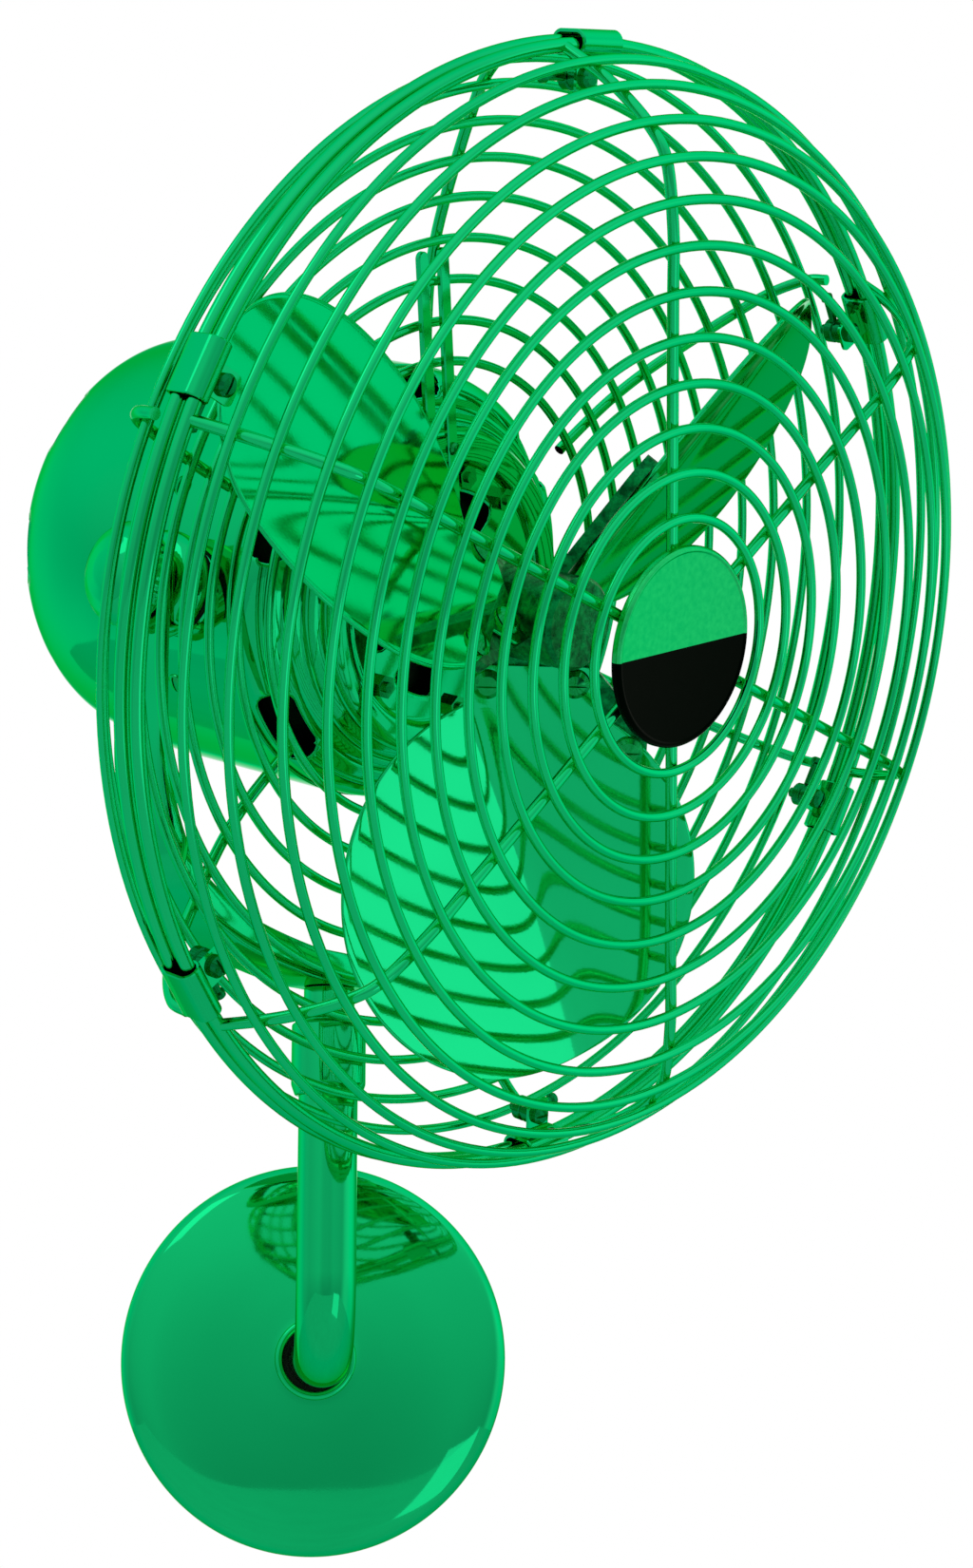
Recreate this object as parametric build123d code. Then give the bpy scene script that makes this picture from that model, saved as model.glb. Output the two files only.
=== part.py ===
from build123d import *
import os
from math import cos, cosh, hypot, log, radians, sin, sqrt, tan

# Wall fan. Millimetres. The wall is the plane Y = 0, the fan stands out
# towards -Y, +X is the viewer's right and +Z is up. The origin is the
# centre of the wall bracket's back face.

# Pose of the fan as photographed
PAN = 45.58
TILT = 19.34

# Wall bracket and canopy
BRACKET_L = 148.0
BRACKET_W = 34.0
BRACKET_T = 2.5
WALL_SCREW_SPACING = 82.6
WALL_SCREW_R = 2.4
CABLE_HOLE_R = 6.0
SOCKET_L = 14.0
SOCKET_WALL = 4.0
CANOPY_R = 78.3
CANOPY_T = 1.2
CANOPY_H = 17.6
LIP_R = 16.5
LIP_WIRE_R = 1.7
TAB_H = 5.0

# Arm and swivel
ARM_OUT = 130.0
TUBE_R = 11.0
TUBE_WALL = 1.6
BEND_R = 30.0
COLLAR_R = 13.85
COLLAR_LOW = 95.0
COLLAR_TOP = 122.0
TUBE_TOP = 110.0
SPIGOT_R = 6.0
STEM_R = 9.5
GROOVE_DEPTH = 1.4
NUT_R = 8.6
GRUB_R = 2.0
GRUB_Z = 116.5
STEM_BOLT_R = 2.9

# Yoke
YOKE_W = 23.0
YOKE_FOOT = 135.0
YOKE_SEAT = 147.0
BEND_TOP = 232.0
ARM_IN = 98.0
ARM_T = 4.0
EYE_R = 12.5

# Tilt pivot, on the pan axis
PIVOT_H = 271.9
AXIS_RISE = 24.0
PIVOT_SET = 8.4
STUD_R = 4.0
STUD_IN = 73.0
STUD_OUT = 113.0
PAD_R = 17.0
PAD_FACE = 82.0
RUBBER_R = 16.5
RUBBER_T = 2.0
KNOB_R = 19.0

# Motor, stations measured along the fan axis from the pan axis
SHELL_R = 82.0
SHELL_T = 1.4
SHELL_BACK = -112.0
SHELL_FRONT = 31.0
COVER_R = 80.0
COVER_FACE = 57.0
RIDGE_TOP = 60.0
SHOULDER_Z = 41.0
VENT_COUNT = 6
VENT_FIRST = 54.0
SHOULDER_SLOT = (26.0, 12.0)
FACE_VENTS = (85.0, -95.0, 150.0, 20.0, -150.0, -25.0)
FACE_VENT_R = 31.0
FACE_SLOT = (28.0, 15.0)
REAR_VENTS = 9
REAR_VENT_FIRST = 157.0
REAR_SLOT = (22.0, 10.0)
CORE_BACK = -45.0
CORE_FRONT = -5.0
CORE_R = 56.0
ROTOR_R = 30.0
AIR_GAP = 0.3
SIDE_SCREW_ANGLES = (171.0, 224.0, 9.0, -44.0)
SIDE_SCREW_Z = -5.0
SIDE_SCREW_R = 1.5
SLOTS = 24
SLOT_R = 37.2
THRU_R = 44.2
THRU_BOLT_R = 2.0
THRU_ANGLES = (67.0, 99.0, -62.0, -118.0)
SHAFT_R = 4.0
SHAFT_BACK = -78.0
SHAFT_FRONT = 121.0
BEARING_R = 11.0
BEARING_L = 8.0
CAPACITOR_W = 34.0
CAPACITOR_T = 14.0
CAPACITOR_L = 24.0
FRONT_BEARING_Z = 55.0
REAR_BEARING_Z = -74.0

# Guards: radius and station of each ring
WIRE_R = 1.75
SPOKE_R = 2.1
RIM_WIRE_R = 2.5
WELD = 0.45
FRONT_RINGS = (
    (44.8, 171.6), (60.4, 171.6), (75.6, 171.6), (90.7, 171.6),
    (106.2, 171.6), (121.6, 171.6), (136.8, 171.6), (152.0, 171.6),
    (165.7, 168.5), (177.4, 161.0), (188.1, 148.4), (195.8, 136.1),
)
REAR_RINGS = (
    (86.0, 55.5), (101.0, 56.5), (116.0, 58.3), (131.0, 62.0),
    (146.0, 67.5), (160.0, 73.5), (173.0, 79.5), (186.0, 86.5), (195.0, 96.5),
)
FRONT_RIM = (200.1, 119.9)
REAR_RIM = (200.9, 113.3)
SPOKE_COUNT = 6
SPOKE_FIRST = -6.5
CLIP_BEFORE_SPOKE = 4.7
CLIP_L = 20.0
CLIP_T = 1.2
CLIP_PLAY = 0.85
CLIP_LUG_IN = 183.0
CLIP_BOLT_AT = 189.0
CLIP_BOLT_R = 2.0
CLIP_NUT_R = 4.6
STRAP_ANGLE = 115.5
STRAP_W = 5.0
STRAP_T = 2.0
STRAP_PITCH = 10.6
STRAP_IN = 31.0
STRAP_LOW_IN = 50.5
STRAP_OUT = 128.0
STRAP_SCREW_AT = 54.6
STRAP_SCREW_R = 1.5

# Medallion
BADGE_R = 35.5
BADGE_T = 4.2
BACK_PLATE_R = 27.0
BACK_PLATE_T = 2.0
BADGE_SCREW_R = 2.5

# Blades
BLADES = 3
BLADE_FIRST = -71.0
BLADE_MID = 104.2
BLADE_ACROSS = 0.5
BLADE_HALF_L = 74.0
BLADE_HALF_W = 66.8
BLADE_T = 1.6
BLADE_Z = 99.0
PITCH = 35.5
FOLD = 18.0
FOLD_SKEW = 20.5
FOLD_AT = 90.0
FOLD_SOFT = 6.0
ROOT_IN = 19.0
ROOT_L = 48.0
ROOT_LOW = -21.0
ROOT_HIGH = 28.0
SCREW_SPOTS = ((26.0, -13.0), (25.0, 19.0), (50.0, 40.0))
BLADE_SCREW_R = 2.2
PAD_CORNERS = ((4, -17), (34, -19), (36, 10), (58, 34), (56, 47), (44, 47), (20, 27), (4, 14))
HUB_R = 17.0
HUB_BACK = 78.0
HUB_FRONT = 126.0
HUB_ARM_T = 4.5
HUB_SCREW_R = 2.5

# Clearances
RUN_FIT = 0.05
SEAT = 0.05
GAP = 0.3
PAD_GAP = 0.15
SCREW_SEAT = 0.25


def turned(points):
    outline = Polyline(*[(r, 0, z) for r, z in points], close=True)
    return revolve(make_face(outline), axis=Axis.Z)


def turned_shell(points, thickness):
    outer = Spline(*[(r, 0, z) for r, z in points])
    inner = [(r, z) for r, z in offset_profile(points, thickness)]
    back = Spline(*[(r, 0, z) for r, z in inner])
    first = Line(outer @ 0, back @ 0)
    last = Line(outer @ 1, back @ 1)
    return revolve(make_face([outer, last, back, first]), axis=Axis.Z)


def offset_profile(points, distance):
    moved = []
    last = len(points) - 1
    for i, (r, z) in enumerate(points):
        before = points[max(i - 1, 0)]
        after = points[min(i + 1, last)]
        dr = after[0] - before[0]
        dz = after[1] - before[1]
        size = hypot(dr, dz)
        moved.append((max(r - distance * dz / size, 0.0), z + distance * dr / size))
    return moved


def rod(radius, z_low, z_high, x=0.0, y=0.0):
    body = Cylinder(radius, z_high - z_low, align=(Align.CENTER, Align.CENTER, Align.MIN))
    return Pos(x, y, z_low) * body


def ring(outer, inner, z_low, z_high, x=0.0, y=0.0):
    return rod(outer, z_low, z_high, x, y) - rod(inner, z_low - 1, z_high + 1, x, y)


def polar(radius, angle):
    return radius * cos(radians(angle)), radius * sin(radians(angle))


def turned_about_z(shape, angle):
    return Rot(0, 0, angle) * shape


def fan_place():
    tilt, pan = radians(TILT), radians(PAN)
    axis = Vector(sin(pan) * cos(tilt), -cos(pan) * cos(tilt), -sin(tilt))
    side = Vector(cos(pan), sin(pan), 0)
    rise = axis.cross(side)
    pivot = Vector(0, -ARM_OUT, PIVOT_H)
    origin = pivot + rise * AXIS_RISE - axis * PIVOT_SET
    return Plane(origin=origin, x_dir=side, z_dir=axis).location


def yoke_place():
    side = (cos(radians(PAN)), sin(radians(PAN)), 0)
    return Plane(origin=(0, -ARM_OUT, 0), x_dir=side, z_dir=(0, 0, 1)).location


def on_wall(shape):
    # Local Z is the way out from the wall
    return Rot(90, 0, 0) * shape


def along_pivot(shape, side):
    # Local Z runs outward along the tilt axis, on the given side
    turn = Rot(0, 90, 0) if side > 0 else Rot(0, -90, 0)
    return Pos(0, -AXIS_RISE, PIVOT_SET) * turn * shape


# Fixed parts on the wall


def wall_bracket():
    bar = Box(BRACKET_L, BRACKET_W, BRACKET_T, align=(Align.CENTER, Align.CENTER, Align.MIN))
    bar = fillet(bar.edges().filter_by(Axis.Z), 5)
    tab = Box(BRACKET_T, BRACKET_W - 12, TAB_H, align=(Align.CENTER, Align.CENTER, Align.MIN))
    for side in (-1, 1):
        bar += Pos(side * (BRACKET_L - BRACKET_T) / 2, 0, 0) * tab
        bar -= rod(WALL_SCREW_R, -1, BRACKET_T + 1, side * WALL_SCREW_SPACING / 2)
    bar += rod(TUBE_R + SOCKET_WALL, 0, SOCKET_L)
    bar -= rod(TUBE_R + SEAT, BRACKET_T, SOCKET_L + 1)
    bar -= rod(CABLE_HOLE_R, -1, BRACKET_T + 1)
    return on_wall(bar)


def canopy():
    outer = [(CANOPY_R, 0.0), (CANOPY_R, 1.6), (CANOPY_R - 0.8, 4.2), (CANOPY_R - 4, 7.4), (62.0, 11.6)]
    outer += [(46.0, 14.8), (30.0, 16.9), (LIP_R - 1, CANOPY_H)]
    shell = turned_shell(outer, CANOPY_T)
    lip = Pos(0, 0, CANOPY_H - 0.3) * Torus(LIP_R - LIP_WIRE_R, LIP_WIRE_R)
    return on_wall(shell + lip)


def arm_tube():
    out = Line((0, -BRACKET_T - SEAT, 0), (0, -ARM_OUT + BEND_R, 0))
    bend = ThreePointArc(
        (0, -ARM_OUT + BEND_R, 0),
        (0, -ARM_OUT + BEND_R * (1 - sin(radians(45))), BEND_R * (1 - cos(radians(45)))),
        (0, -ARM_OUT, BEND_R),
    )
    up = Line((0, -ARM_OUT, BEND_R), (0, -ARM_OUT, TUBE_TOP))
    path = Wire([out, bend, up])
    start = Plane(origin=(0, -BRACKET_T - SEAT, 0), x_dir=(1, 0, 0), z_dir=(0, -1, 0))
    outer = sweep(start * Circle(TUBE_R), path=path)
    inner = sweep(start * Circle(TUBE_R - TUBE_WALL), path=path)
    return outer - inner


def swivel_collar():
    points = [
        (TUBE_R + SEAT, COLLAR_LOW), (COLLAR_R - 1.4, COLLAR_LOW), (COLLAR_R, COLLAR_LOW + 4),
        (COLLAR_R, COLLAR_TOP - 0.8), (COLLAR_R - 0.8, COLLAR_TOP), (SPIGOT_R + RUN_FIT, COLLAR_TOP),
        (SPIGOT_R + RUN_FIT, TUBE_TOP + SEAT), (TUBE_R + SEAT, TUBE_TOP + SEAT),
    ]
    body = Pos(0, -ARM_OUT, 0) * turned(points)
    hole = Pos(0, -ARM_OUT, GRUB_Z) * Rot(-90, 0, 0) * rod(GRUB_R + SEAT, SPIGOT_R, COLLAR_R + 1)
    return body - hole


def swivel_set_screw():
    body = rod(GRUB_R, SPIGOT_R + GAP, COLLAR_R - 0.6)
    body -= extrude(Plane.XY.offset(COLLAR_R - 2.2) * RegularPolygon(1.15, 6), amount=2)
    return Pos(0, -ARM_OUT, GRUB_Z) * Rot(-90, 0, 0) * body


# Swivel and yoke, in the yoke's own frame


def swivel_stem():
    low = TUBE_TOP - 16
    points = [
        (0, low), (SPIGOT_R - 0.8, low), (SPIGOT_R, low + 0.8), (SPIGOT_R, COLLAR_TOP + GAP),
        (STEM_R - 0.5, COLLAR_TOP + GAP), (STEM_R, COLLAR_TOP + GAP + 0.5), (STEM_R, COLLAR_TOP + 1.4),
        (STEM_R - GROOVE_DEPTH, COLLAR_TOP + 1.8), (STEM_R - GROOVE_DEPTH, COLLAR_TOP + 3.0),
        (STEM_R, COLLAR_TOP + 3.4), (STEM_R, YOKE_FOOT - SEAT), (0, YOKE_FOOT - SEAT),
    ]
    return turned(points) - rod(STEM_BOLT_R + 0.1, YOKE_FOOT - 10, YOKE_FOOT + 1)


def swivel_nut():
    return ring(NUT_R, SPIGOT_R + SEAT, TUBE_TOP - 15, TUBE_TOP - GAP - 9)


def yoke():
    top = Spline((0, YOKE_SEAT), (25, 148.6), (59, 157), (84, 174), (96, 203), (ARM_IN, BEND_TOP))
    low = Spline(
        (0, YOKE_FOOT), (25, 136.6), (62, 145.5), (89.5, 164.5), (101, 200), (ARM_IN + ARM_T, BEND_TOP)
    )
    head = PIVOT_H + EYE_R + 2
    inner = Line((ARM_IN, BEND_TOP), (ARM_IN, head))
    cap = Line((ARM_IN, head), (ARM_IN + ARM_T, head))
    outer = Line((ARM_IN + ARM_T, head), (ARM_IN + ARM_T, BEND_TOP))
    middle = Line((0, YOKE_FOOT), (0, YOKE_SEAT))
    half = make_face([top, inner, cap, outer, low, middle])
    band = extrude(Plane.XZ * half, amount=YOKE_W / 2, both=True)
    band += mirror(band, about=Plane.YZ)
    side = Rectangle(YOKE_W, PIVOT_H - 120, align=(Align.CENTER, Align.MIN))
    side = Pos(0, 120) * side + Pos(0, PIVOT_H) * Circle(EYE_R)
    trim = extrude(Plane.YZ * side, amount=ARM_IN + ARM_T + 10, both=True)
    band = band & trim
    hole = Pos(0, 0, PIVOT_H) * Rot(0, 90, 0) * Cylinder(STUD_R + RUN_FIT, 3 * ARM_IN)
    sink = turned([
        (0, YOKE_FOOT - 1), (STEM_BOLT_R + 0.3, YOKE_FOOT - 1), (STEM_BOLT_R + 0.3, YOKE_SEAT - 3.6),
        (6.8, YOKE_SEAT), (6.8, YOKE_SEAT + 13), (0, YOKE_SEAT + 13),
    ])
    return band - hole - sink


def stem_bolt():
    points = [
        (0, YOKE_FOOT - 8), (STEM_BOLT_R, YOKE_FOOT - 8), (STEM_BOLT_R, YOKE_SEAT - 3.5),
        (6.3, YOKE_SEAT - 0.1), (0, YOKE_SEAT - 0.1),
    ]
    key = extrude(Plane.XY.offset(YOKE_SEAT - 2.4) * RegularPolygon(2.3, 6), amount=4)
    return turned(points) - key


def arm_washers():
    low = ARM_IN + ARM_T + SEAT
    one = ring(10.0, STUD_R + RUN_FIT, low, low + 1.0)
    right = Pos(0, 0, PIVOT_H) * Rot(0, 90, 0) * one
    left = Pos(0, 0, PIVOT_H) * Rot(0, -90, 0) * one
    return Compound(children=[right, left])


# Tilt pivot, in the fan frame


def tilt_knob(side):
    low = ARM_IN + ARM_T + SEAT + 1.0 + GAP
    skirt = [(STUD_R + RUN_FIT, low), (KNOB_R - 3, low), (KNOB_R - 1.4, low + 1.2)]
    skirt += [(KNOB_R - 1.4, low + 2.2)]
    body = [(KNOB_R, low + 3.2), (KNOB_R, low + 6.6), (KNOB_R - 0.9, low + 8.2)]
    crown = [(KNOB_R - 3, low + 11), (KNOB_R - 7, low + 13.6), (KNOB_R - 12, low + 15.2), (0, low + 16)]
    bore = [(0, STUD_OUT + GAP), (STUD_R + RUN_FIT, STUD_OUT + GAP)]
    return along_pivot(turned(skirt + body + crown + bore), side)


def pivot_bosses():
    low = PAD_FACE + RUBBER_T + 2 * SEAT
    high = ARM_IN - GAP
    points = [
        (STUD_R + SEAT, low), (15.6, low), (17.6, low + 1.4), (19.4, low + 4.0), (19.8, low + 6.6),
        (19.2, low + 9.4), (17.4, low + 12.0), (14.0, high), (STUD_R + SEAT, high),
    ]
    one = turned(points)
    return Compound(children=[along_pivot(one, 1), along_pivot(one, -1)])


def rubber_washers():
    one = ring(RUBBER_R, STUD_R + SEAT, PAD_FACE + SEAT, PAD_FACE + SEAT + RUBBER_T)
    return Compound(children=[along_pivot(one, 1), along_pivot(one, -1)])


def pivot_studs():
    one = rod(STUD_R, STUD_IN, STUD_OUT)
    return Compound(children=[along_pivot(one, 1), along_pivot(one, -1)])


def pivot_brackets():
    # Curved plates inside the shell that take the pivot studs
    high = SHELL_R - SHELL_T - 1.2
    sector = ring(high, high - 4, PIVOT_SET - 22, PIVOT_SET + 16)
    parts = []
    for side, middle in ((-1, 197.5), (1, -17.5)):
        wedge = turned_about_z(Pos(high / 2 + 20, 0, PIVOT_SET) * Box(high, 74, 60), middle)
        plate = (sector & wedge) - along_pivot(rod(STUD_R + SEAT, 50, 90), side)
        for angle in SIDE_SCREW_ANGLES:
            if side * cos(radians(angle)) > 0:
                plate -= side_screw_hole(angle)
        parts.append(plate)
    return Compound(children=parts)


def side_screw_hole(angle):
    hole = rod(SIDE_SCREW_R + SEAT, SHELL_R - 12, SHELL_R + 5)
    return turned_about_z(Pos(0, 0, SIDE_SCREW_Z) * Rot(0, 90, 0) * hole, angle)


def bracket_screws():
    shank = rod(SIDE_SCREW_R, SHELL_R - 6.5, SHELL_R + 0.3)
    points = [
        (0, SHELL_R + 0.3), (4.2, SHELL_R + 0.3), (3.9, SHELL_R + 1.2),
        (2.6, SHELL_R + 2.2), (0, SHELL_R + 2.6),
    ]
    slot = Pos(0, 0, SHELL_R + 2.4) * Box(1.0, 9, 1.6)
    one = shank + turned(points) - slot
    one = Pos(0, 0, SIDE_SCREW_Z) * Rot(0, 90, 0) * one
    return Compound(children=[turned_about_z(one, angle) for angle in SIDE_SCREW_ANGLES])


# Motor


def motor_shell():
    points = [(3, SHELL_BACK), (30, SHELL_BACK + 1.2), (52, SHELL_BACK + 5.5), (68, SHELL_BACK + 13)]
    points += [(77.5, SHELL_BACK + 24), (81, SHELL_BACK + 38), (SHELL_R, SHELL_BACK + 60)]
    inside = offset_profile(points, SHELL_T)
    inside[-1] = (SHELL_R - SHELL_T, SHELL_BACK + 60)
    outer = Spline(*[(r, 0, z) for r, z in points], tangents=[(1, 0, 0), (0, 0, 1)])
    inner = Spline(*[(r, 0, z) for r, z in inside], tangents=[(1, 0, 0), (0, 0, 1)])
    wall_out = Line(outer @ 1, (SHELL_R - 1.2, 0, SHELL_FRONT))
    lip = Line(wall_out @ 1, (SHELL_R - 1.2 - SHELL_T, 0, SHELL_FRONT))
    wall_in = Line(lip @ 1, inner @ 1)
    pole = Line(inner @ 0, outer @ 0)
    shell = revolve(make_face([outer, wall_out, lip, wall_in, inner, pole]), axis=Axis.Z)
    shell += rod(5, SHELL_BACK - 0.4, SHELL_BACK + SHELL_T)
    room = rod(SHELL_R - SHELL_T - 0.7, -60, SHELL_FRONT)
    for side in (-1, 1):
        shell += along_pivot(rod(PAD_R, SHELL_R - 15, PAD_FACE), side) - room
        shell -= along_pivot(rod(STUD_R + SEAT, STUD_IN - 10, STUD_OUT), side)
    for angle in SIDE_SCREW_ANGLES:
        shell -= side_screw_hole(angle)
    vent = Pos(0, 0, 12) * extrude(SlotOverall(*REAR_SLOT), amount=-26)
    vent = Pos(74, 0, SHELL_BACK + 17) * Rot(0, 55, 0) * Rot(0, 0, 90) * vent
    for i in range(REAR_VENTS):
        shell -= turned_about_z(vent, REAR_VENT_FIRST + i * 360 / REAR_VENTS)
    return shell


def motor_front_cover():
    outer = [
        (COVER_R, SHELL_FRONT + GAP), (COVER_R, 37.0), (78.6, SHOULDER_Z), (75.0, 44.6),
        (70.0, 46.4), (68.5, 46.4), (68.5, 49.0), (66.0, 50.6), (64.0, 50.6), (64.0, 53.2),
        (61.4, 54.8), (59.4, 54.8), (59.4, RIDGE_TOP - 1.2), (58.2, RIDGE_TOP), (51.0, RIDGE_TOP),
        (49.8, RIDGE_TOP - 1.0), (49.8, COVER_FACE), (19.0, COVER_FACE),
        (17.5, COVER_FACE + 4), (14.5, COVER_FACE + 6.5), (SHAFT_R + 2, COVER_FACE + 6.5),
    ]
    bearing_back = FRONT_BEARING_Z - SEAT
    bearing_front = FRONT_BEARING_Z + BEARING_L + SEAT
    rim = SHELL_R - SHELL_T - 1.8
    inner = [
        (SHAFT_R + 2, bearing_front), (BEARING_R + SEAT, bearing_front), (BEARING_R + SEAT, bearing_back),
        (14.5, bearing_back), (14.5, COVER_FACE - 2), (48.0, COVER_FACE - 2), (56.0, 51.5),
        (58.5, 47.5), (63.0, 44.4), (67.5, 43.4), (74.0, 41.8), (77.0, 38.8), (77.8, 36.0),
        (77.8, SHELL_FRONT - 6), (rim, SHELL_FRONT - 6), (rim, SHELL_FRONT + GAP),
    ]
    cover = turned(outer + inner)
    outer_vent = Rot(0, 45, 0) * Rot(0, 0, 90) * extrude(SlotOverall(*SHOULDER_SLOT), amount=14, both=True)
    outer_vent = Pos(74.5, 0, SHOULDER_Z) * outer_vent
    inner_vent = extrude(SlotOverall(*FACE_SLOT), amount=9, both=True)
    for i in range(VENT_COUNT):
        cover -= turned_about_z(outer_vent, VENT_FIRST + i * 360 / VENT_COUNT)
    for angle in FACE_VENTS:
        x, y = polar(FACE_VENT_R, angle)
        cover -= Pos(x, y, COVER_FACE) * turned_about_z(inner_vent, angle + 90)
    for angle in THRU_ANGLES:
        x, y = polar(THRU_R, angle)
        cover -= rod(THRU_BOLT_R + SEAT, COVER_FACE - 9, COVER_FACE + 9, x, y)
    for x, y in strap_screw_spots():
        cover -= rod(STRAP_SCREW_R + SEAT, COVER_FACE - 9, RIDGE_TOP + 1, x, y)
    return cover


def strap_screw_spots():
    spots = []
    for base in (STRAP_ANGLE, STRAP_ANGLE - 180):
        for side in (-1, 1):
            x, y = polar(STRAP_SCREW_AT, base)
            dx, dy = polar(side * STRAP_PITCH / 2, base + 90)
            spots.append((x + dx, y + dy))
    return spots


def motor_bolts():
    parts = [rod(THRU_BOLT_R, CORE_BACK - 8, COVER_FACE + 6.5, *polar(THRU_R, a)) for a in THRU_ANGLES]
    return Compound(children=parts)


def front_nuts():
    nut = extrude(Plane.XY.offset(COVER_FACE + 1.1) * RegularPolygon(4.6, 6), amount=4.0)
    nut += rod(5.2, COVER_FACE + SEAT, COVER_FACE + 1.1)
    nut -= rod(THRU_BOLT_R + SEAT, COVER_FACE - 1, COVER_FACE + 9)
    parts = []
    for angle in THRU_ANGLES:
        x, y = polar(THRU_R, angle)
        parts.append(Pos(x, y, 0) * nut)
    return Compound(children=parts)


def rear_bearing_plate():
    z = REAR_BEARING_Z
    points = [
        (SHAFT_R + 2, z - 2.5), (BEARING_R + 3, z - 2.5), (BEARING_R + 3, z + 6), (20, z + 8),
        (CORE_R - 3, CORE_BACK - 14), (CORE_R, CORE_BACK - 11), (CORE_R, CORE_BACK - SEAT),
        (CORE_R - 2.5, CORE_BACK - SEAT), (CORE_R - 2.5, CORE_BACK - 10), (CORE_R - 5, CORE_BACK - 11.5),
        (20, z + 11), (BEARING_R + SEAT, z + 9), (BEARING_R + SEAT, z - SEAT), (SHAFT_R + 2, z - SEAT),
    ]
    plate = turned(points)
    lugs = [rod(2.9, CORE_BACK - 13, CORE_BACK - SEAT, *polar(THRU_R, a)) for a in THRU_ANGLES]
    for lug in lugs:
        plate += lug
    for angle in THRU_ANGLES:
        plate -= rod(THRU_BOLT_R + SEAT, CORE_BACK - 9, CORE_BACK + 1, *polar(THRU_R, angle))
    return plate


def stator_core():
    core = ring(CORE_R, ROTOR_R + AIR_GAP, CORE_BACK, CORE_FRONT)
    slot = Pos(SLOT_R, 0, (CORE_BACK + CORE_FRONT) / 2) * Box(7, 5, 60)
    mouth = Pos(33, 0, (CORE_BACK + CORE_FRONT) / 2) * Box(8, 2, 60)
    for i in range(SLOTS):
        core -= turned_about_z(slot + mouth, i * 360 / SLOTS)
    for angle in THRU_ANGLES:
        core -= rod(THRU_BOLT_R + SEAT, CORE_BACK - 1, CORE_FRONT + 1, *polar(THRU_R, angle))
    return core


def stator_windings():
    # Bars of wire in the slots, joined by a coil end at each face of the core
    body = Pos(0, 0, CORE_BACK - 4.8) * Torus(SLOT_R, 4.0)
    body += Pos(0, 0, CORE_FRONT + 4.8) * Torus(SLOT_R, 4.0)
    bar = Pos(SLOT_R, 0, (CORE_BACK + CORE_FRONT) / 2) * Box(5.6, 3.6, CORE_FRONT - CORE_BACK + 4)
    for i in range(SLOTS):
        body += turned_about_z(bar, i * 360 / SLOTS)
    return body


def bearing(z):
    return ring(BEARING_R, SHAFT_R + RUN_FIT, z, z + BEARING_L)


def run_capacitor():
    body = Box(CAPACITOR_W, CAPACITOR_T, CAPACITOR_L, align=(Align.CENTER, Align.MAX, Align.MIN))
    body = fillet(body.edges().filter_by(Axis.Z), 4)
    floor = sqrt((SHELL_R - SHELL_T - 0.9) ** 2 - (CAPACITOR_W / 2 - 3) ** 2)
    return Pos(0, CAPACITOR_T - floor, SHELL_BACK + 40) * body


# Rotor


def shaft():
    body = rod(SHAFT_R, SHAFT_BACK + 4.5, SHAFT_FRONT)
    return chamfer(body.edges().group_by(Axis.Z)[-1], 0.6)


def rotor_core():
    core = ring(ROTOR_R, SHAFT_R + SEAT, CORE_BACK, CORE_FRONT)
    core += ring(ROTOR_R - 3, ROTOR_R - 9, CORE_BACK - 5, CORE_BACK)
    core += ring(ROTOR_R - 3, ROTOR_R - 9, CORE_FRONT, CORE_FRONT + 5)
    return core


def blade_frame():
    # X runs out along the blade, Y across it, Z is its mean normal
    pitch = radians(PITCH)
    normal = (0, -sin(pitch), cos(pitch))
    return Plane(origin=(0, 0, BLADE_Z), x_dir=(1, 0, 0), z_dir=normal).location


def root_frame():
    # The same frame turned about the fold line, so that it lies in the half that the hub carries
    to_fold = Pos(FOLD_AT, 0, 0) * Rot(0, 0, FOLD_SKEW)
    back = Rot(0, 0, -FOLD_SKEW) * Pos(-FOLD_AT, 0, 0)
    return blade_frame() * to_fold * Rot(FOLD / 2, 0, 0) * back


def fold_height(radius, across):
    # A soft V across the fold line, open towards the front
    skew = radians(FOLD_SKEW)
    distance = across * cos(skew) - (radius - FOLD_AT) * sin(skew)
    return tan(radians(FOLD / 2)) * FOLD_SOFT * (log(cosh(distance / FOLD_SOFT)) + log(2))


def blade_one():
    reach = BLADE_MID + BLADE_HALF_L + 8
    radii = [12 + i * (reach - 12) / 18 for i in range(19)]
    wide = BLADE_HALF_W + 10
    acrosses = [BLADE_ACROSS - wide + j * wide / 9 for j in range(19)]
    low = [[Vector(r, t, fold_height(r, t) - BLADE_T / 2) for t in acrosses] for r in radii]
    outline = Pos(BLADE_MID, BLADE_ACROSS) * Ellipse(BLADE_HALF_L, BLADE_HALF_W)
    root = RectangleRounded(ROOT_L, ROOT_HIGH - ROOT_LOW, 6)
    outline += Pos(ROOT_IN + ROOT_L / 2, (ROOT_HIGH + ROOT_LOW) / 2) * root
    under = Face.make_surface_from_array_of_points(low) & extrude(outline, amount=60, both=True)
    body = blade_frame() * Solid.extrude(under.faces()[0], Vector(0, 0, BLADE_T))
    for spot in SCREW_SPOTS:
        body -= root_frame() * Pos(*spot) * rod(BLADE_SCREW_R + 0.1, -12, 12)
    return body


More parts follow.
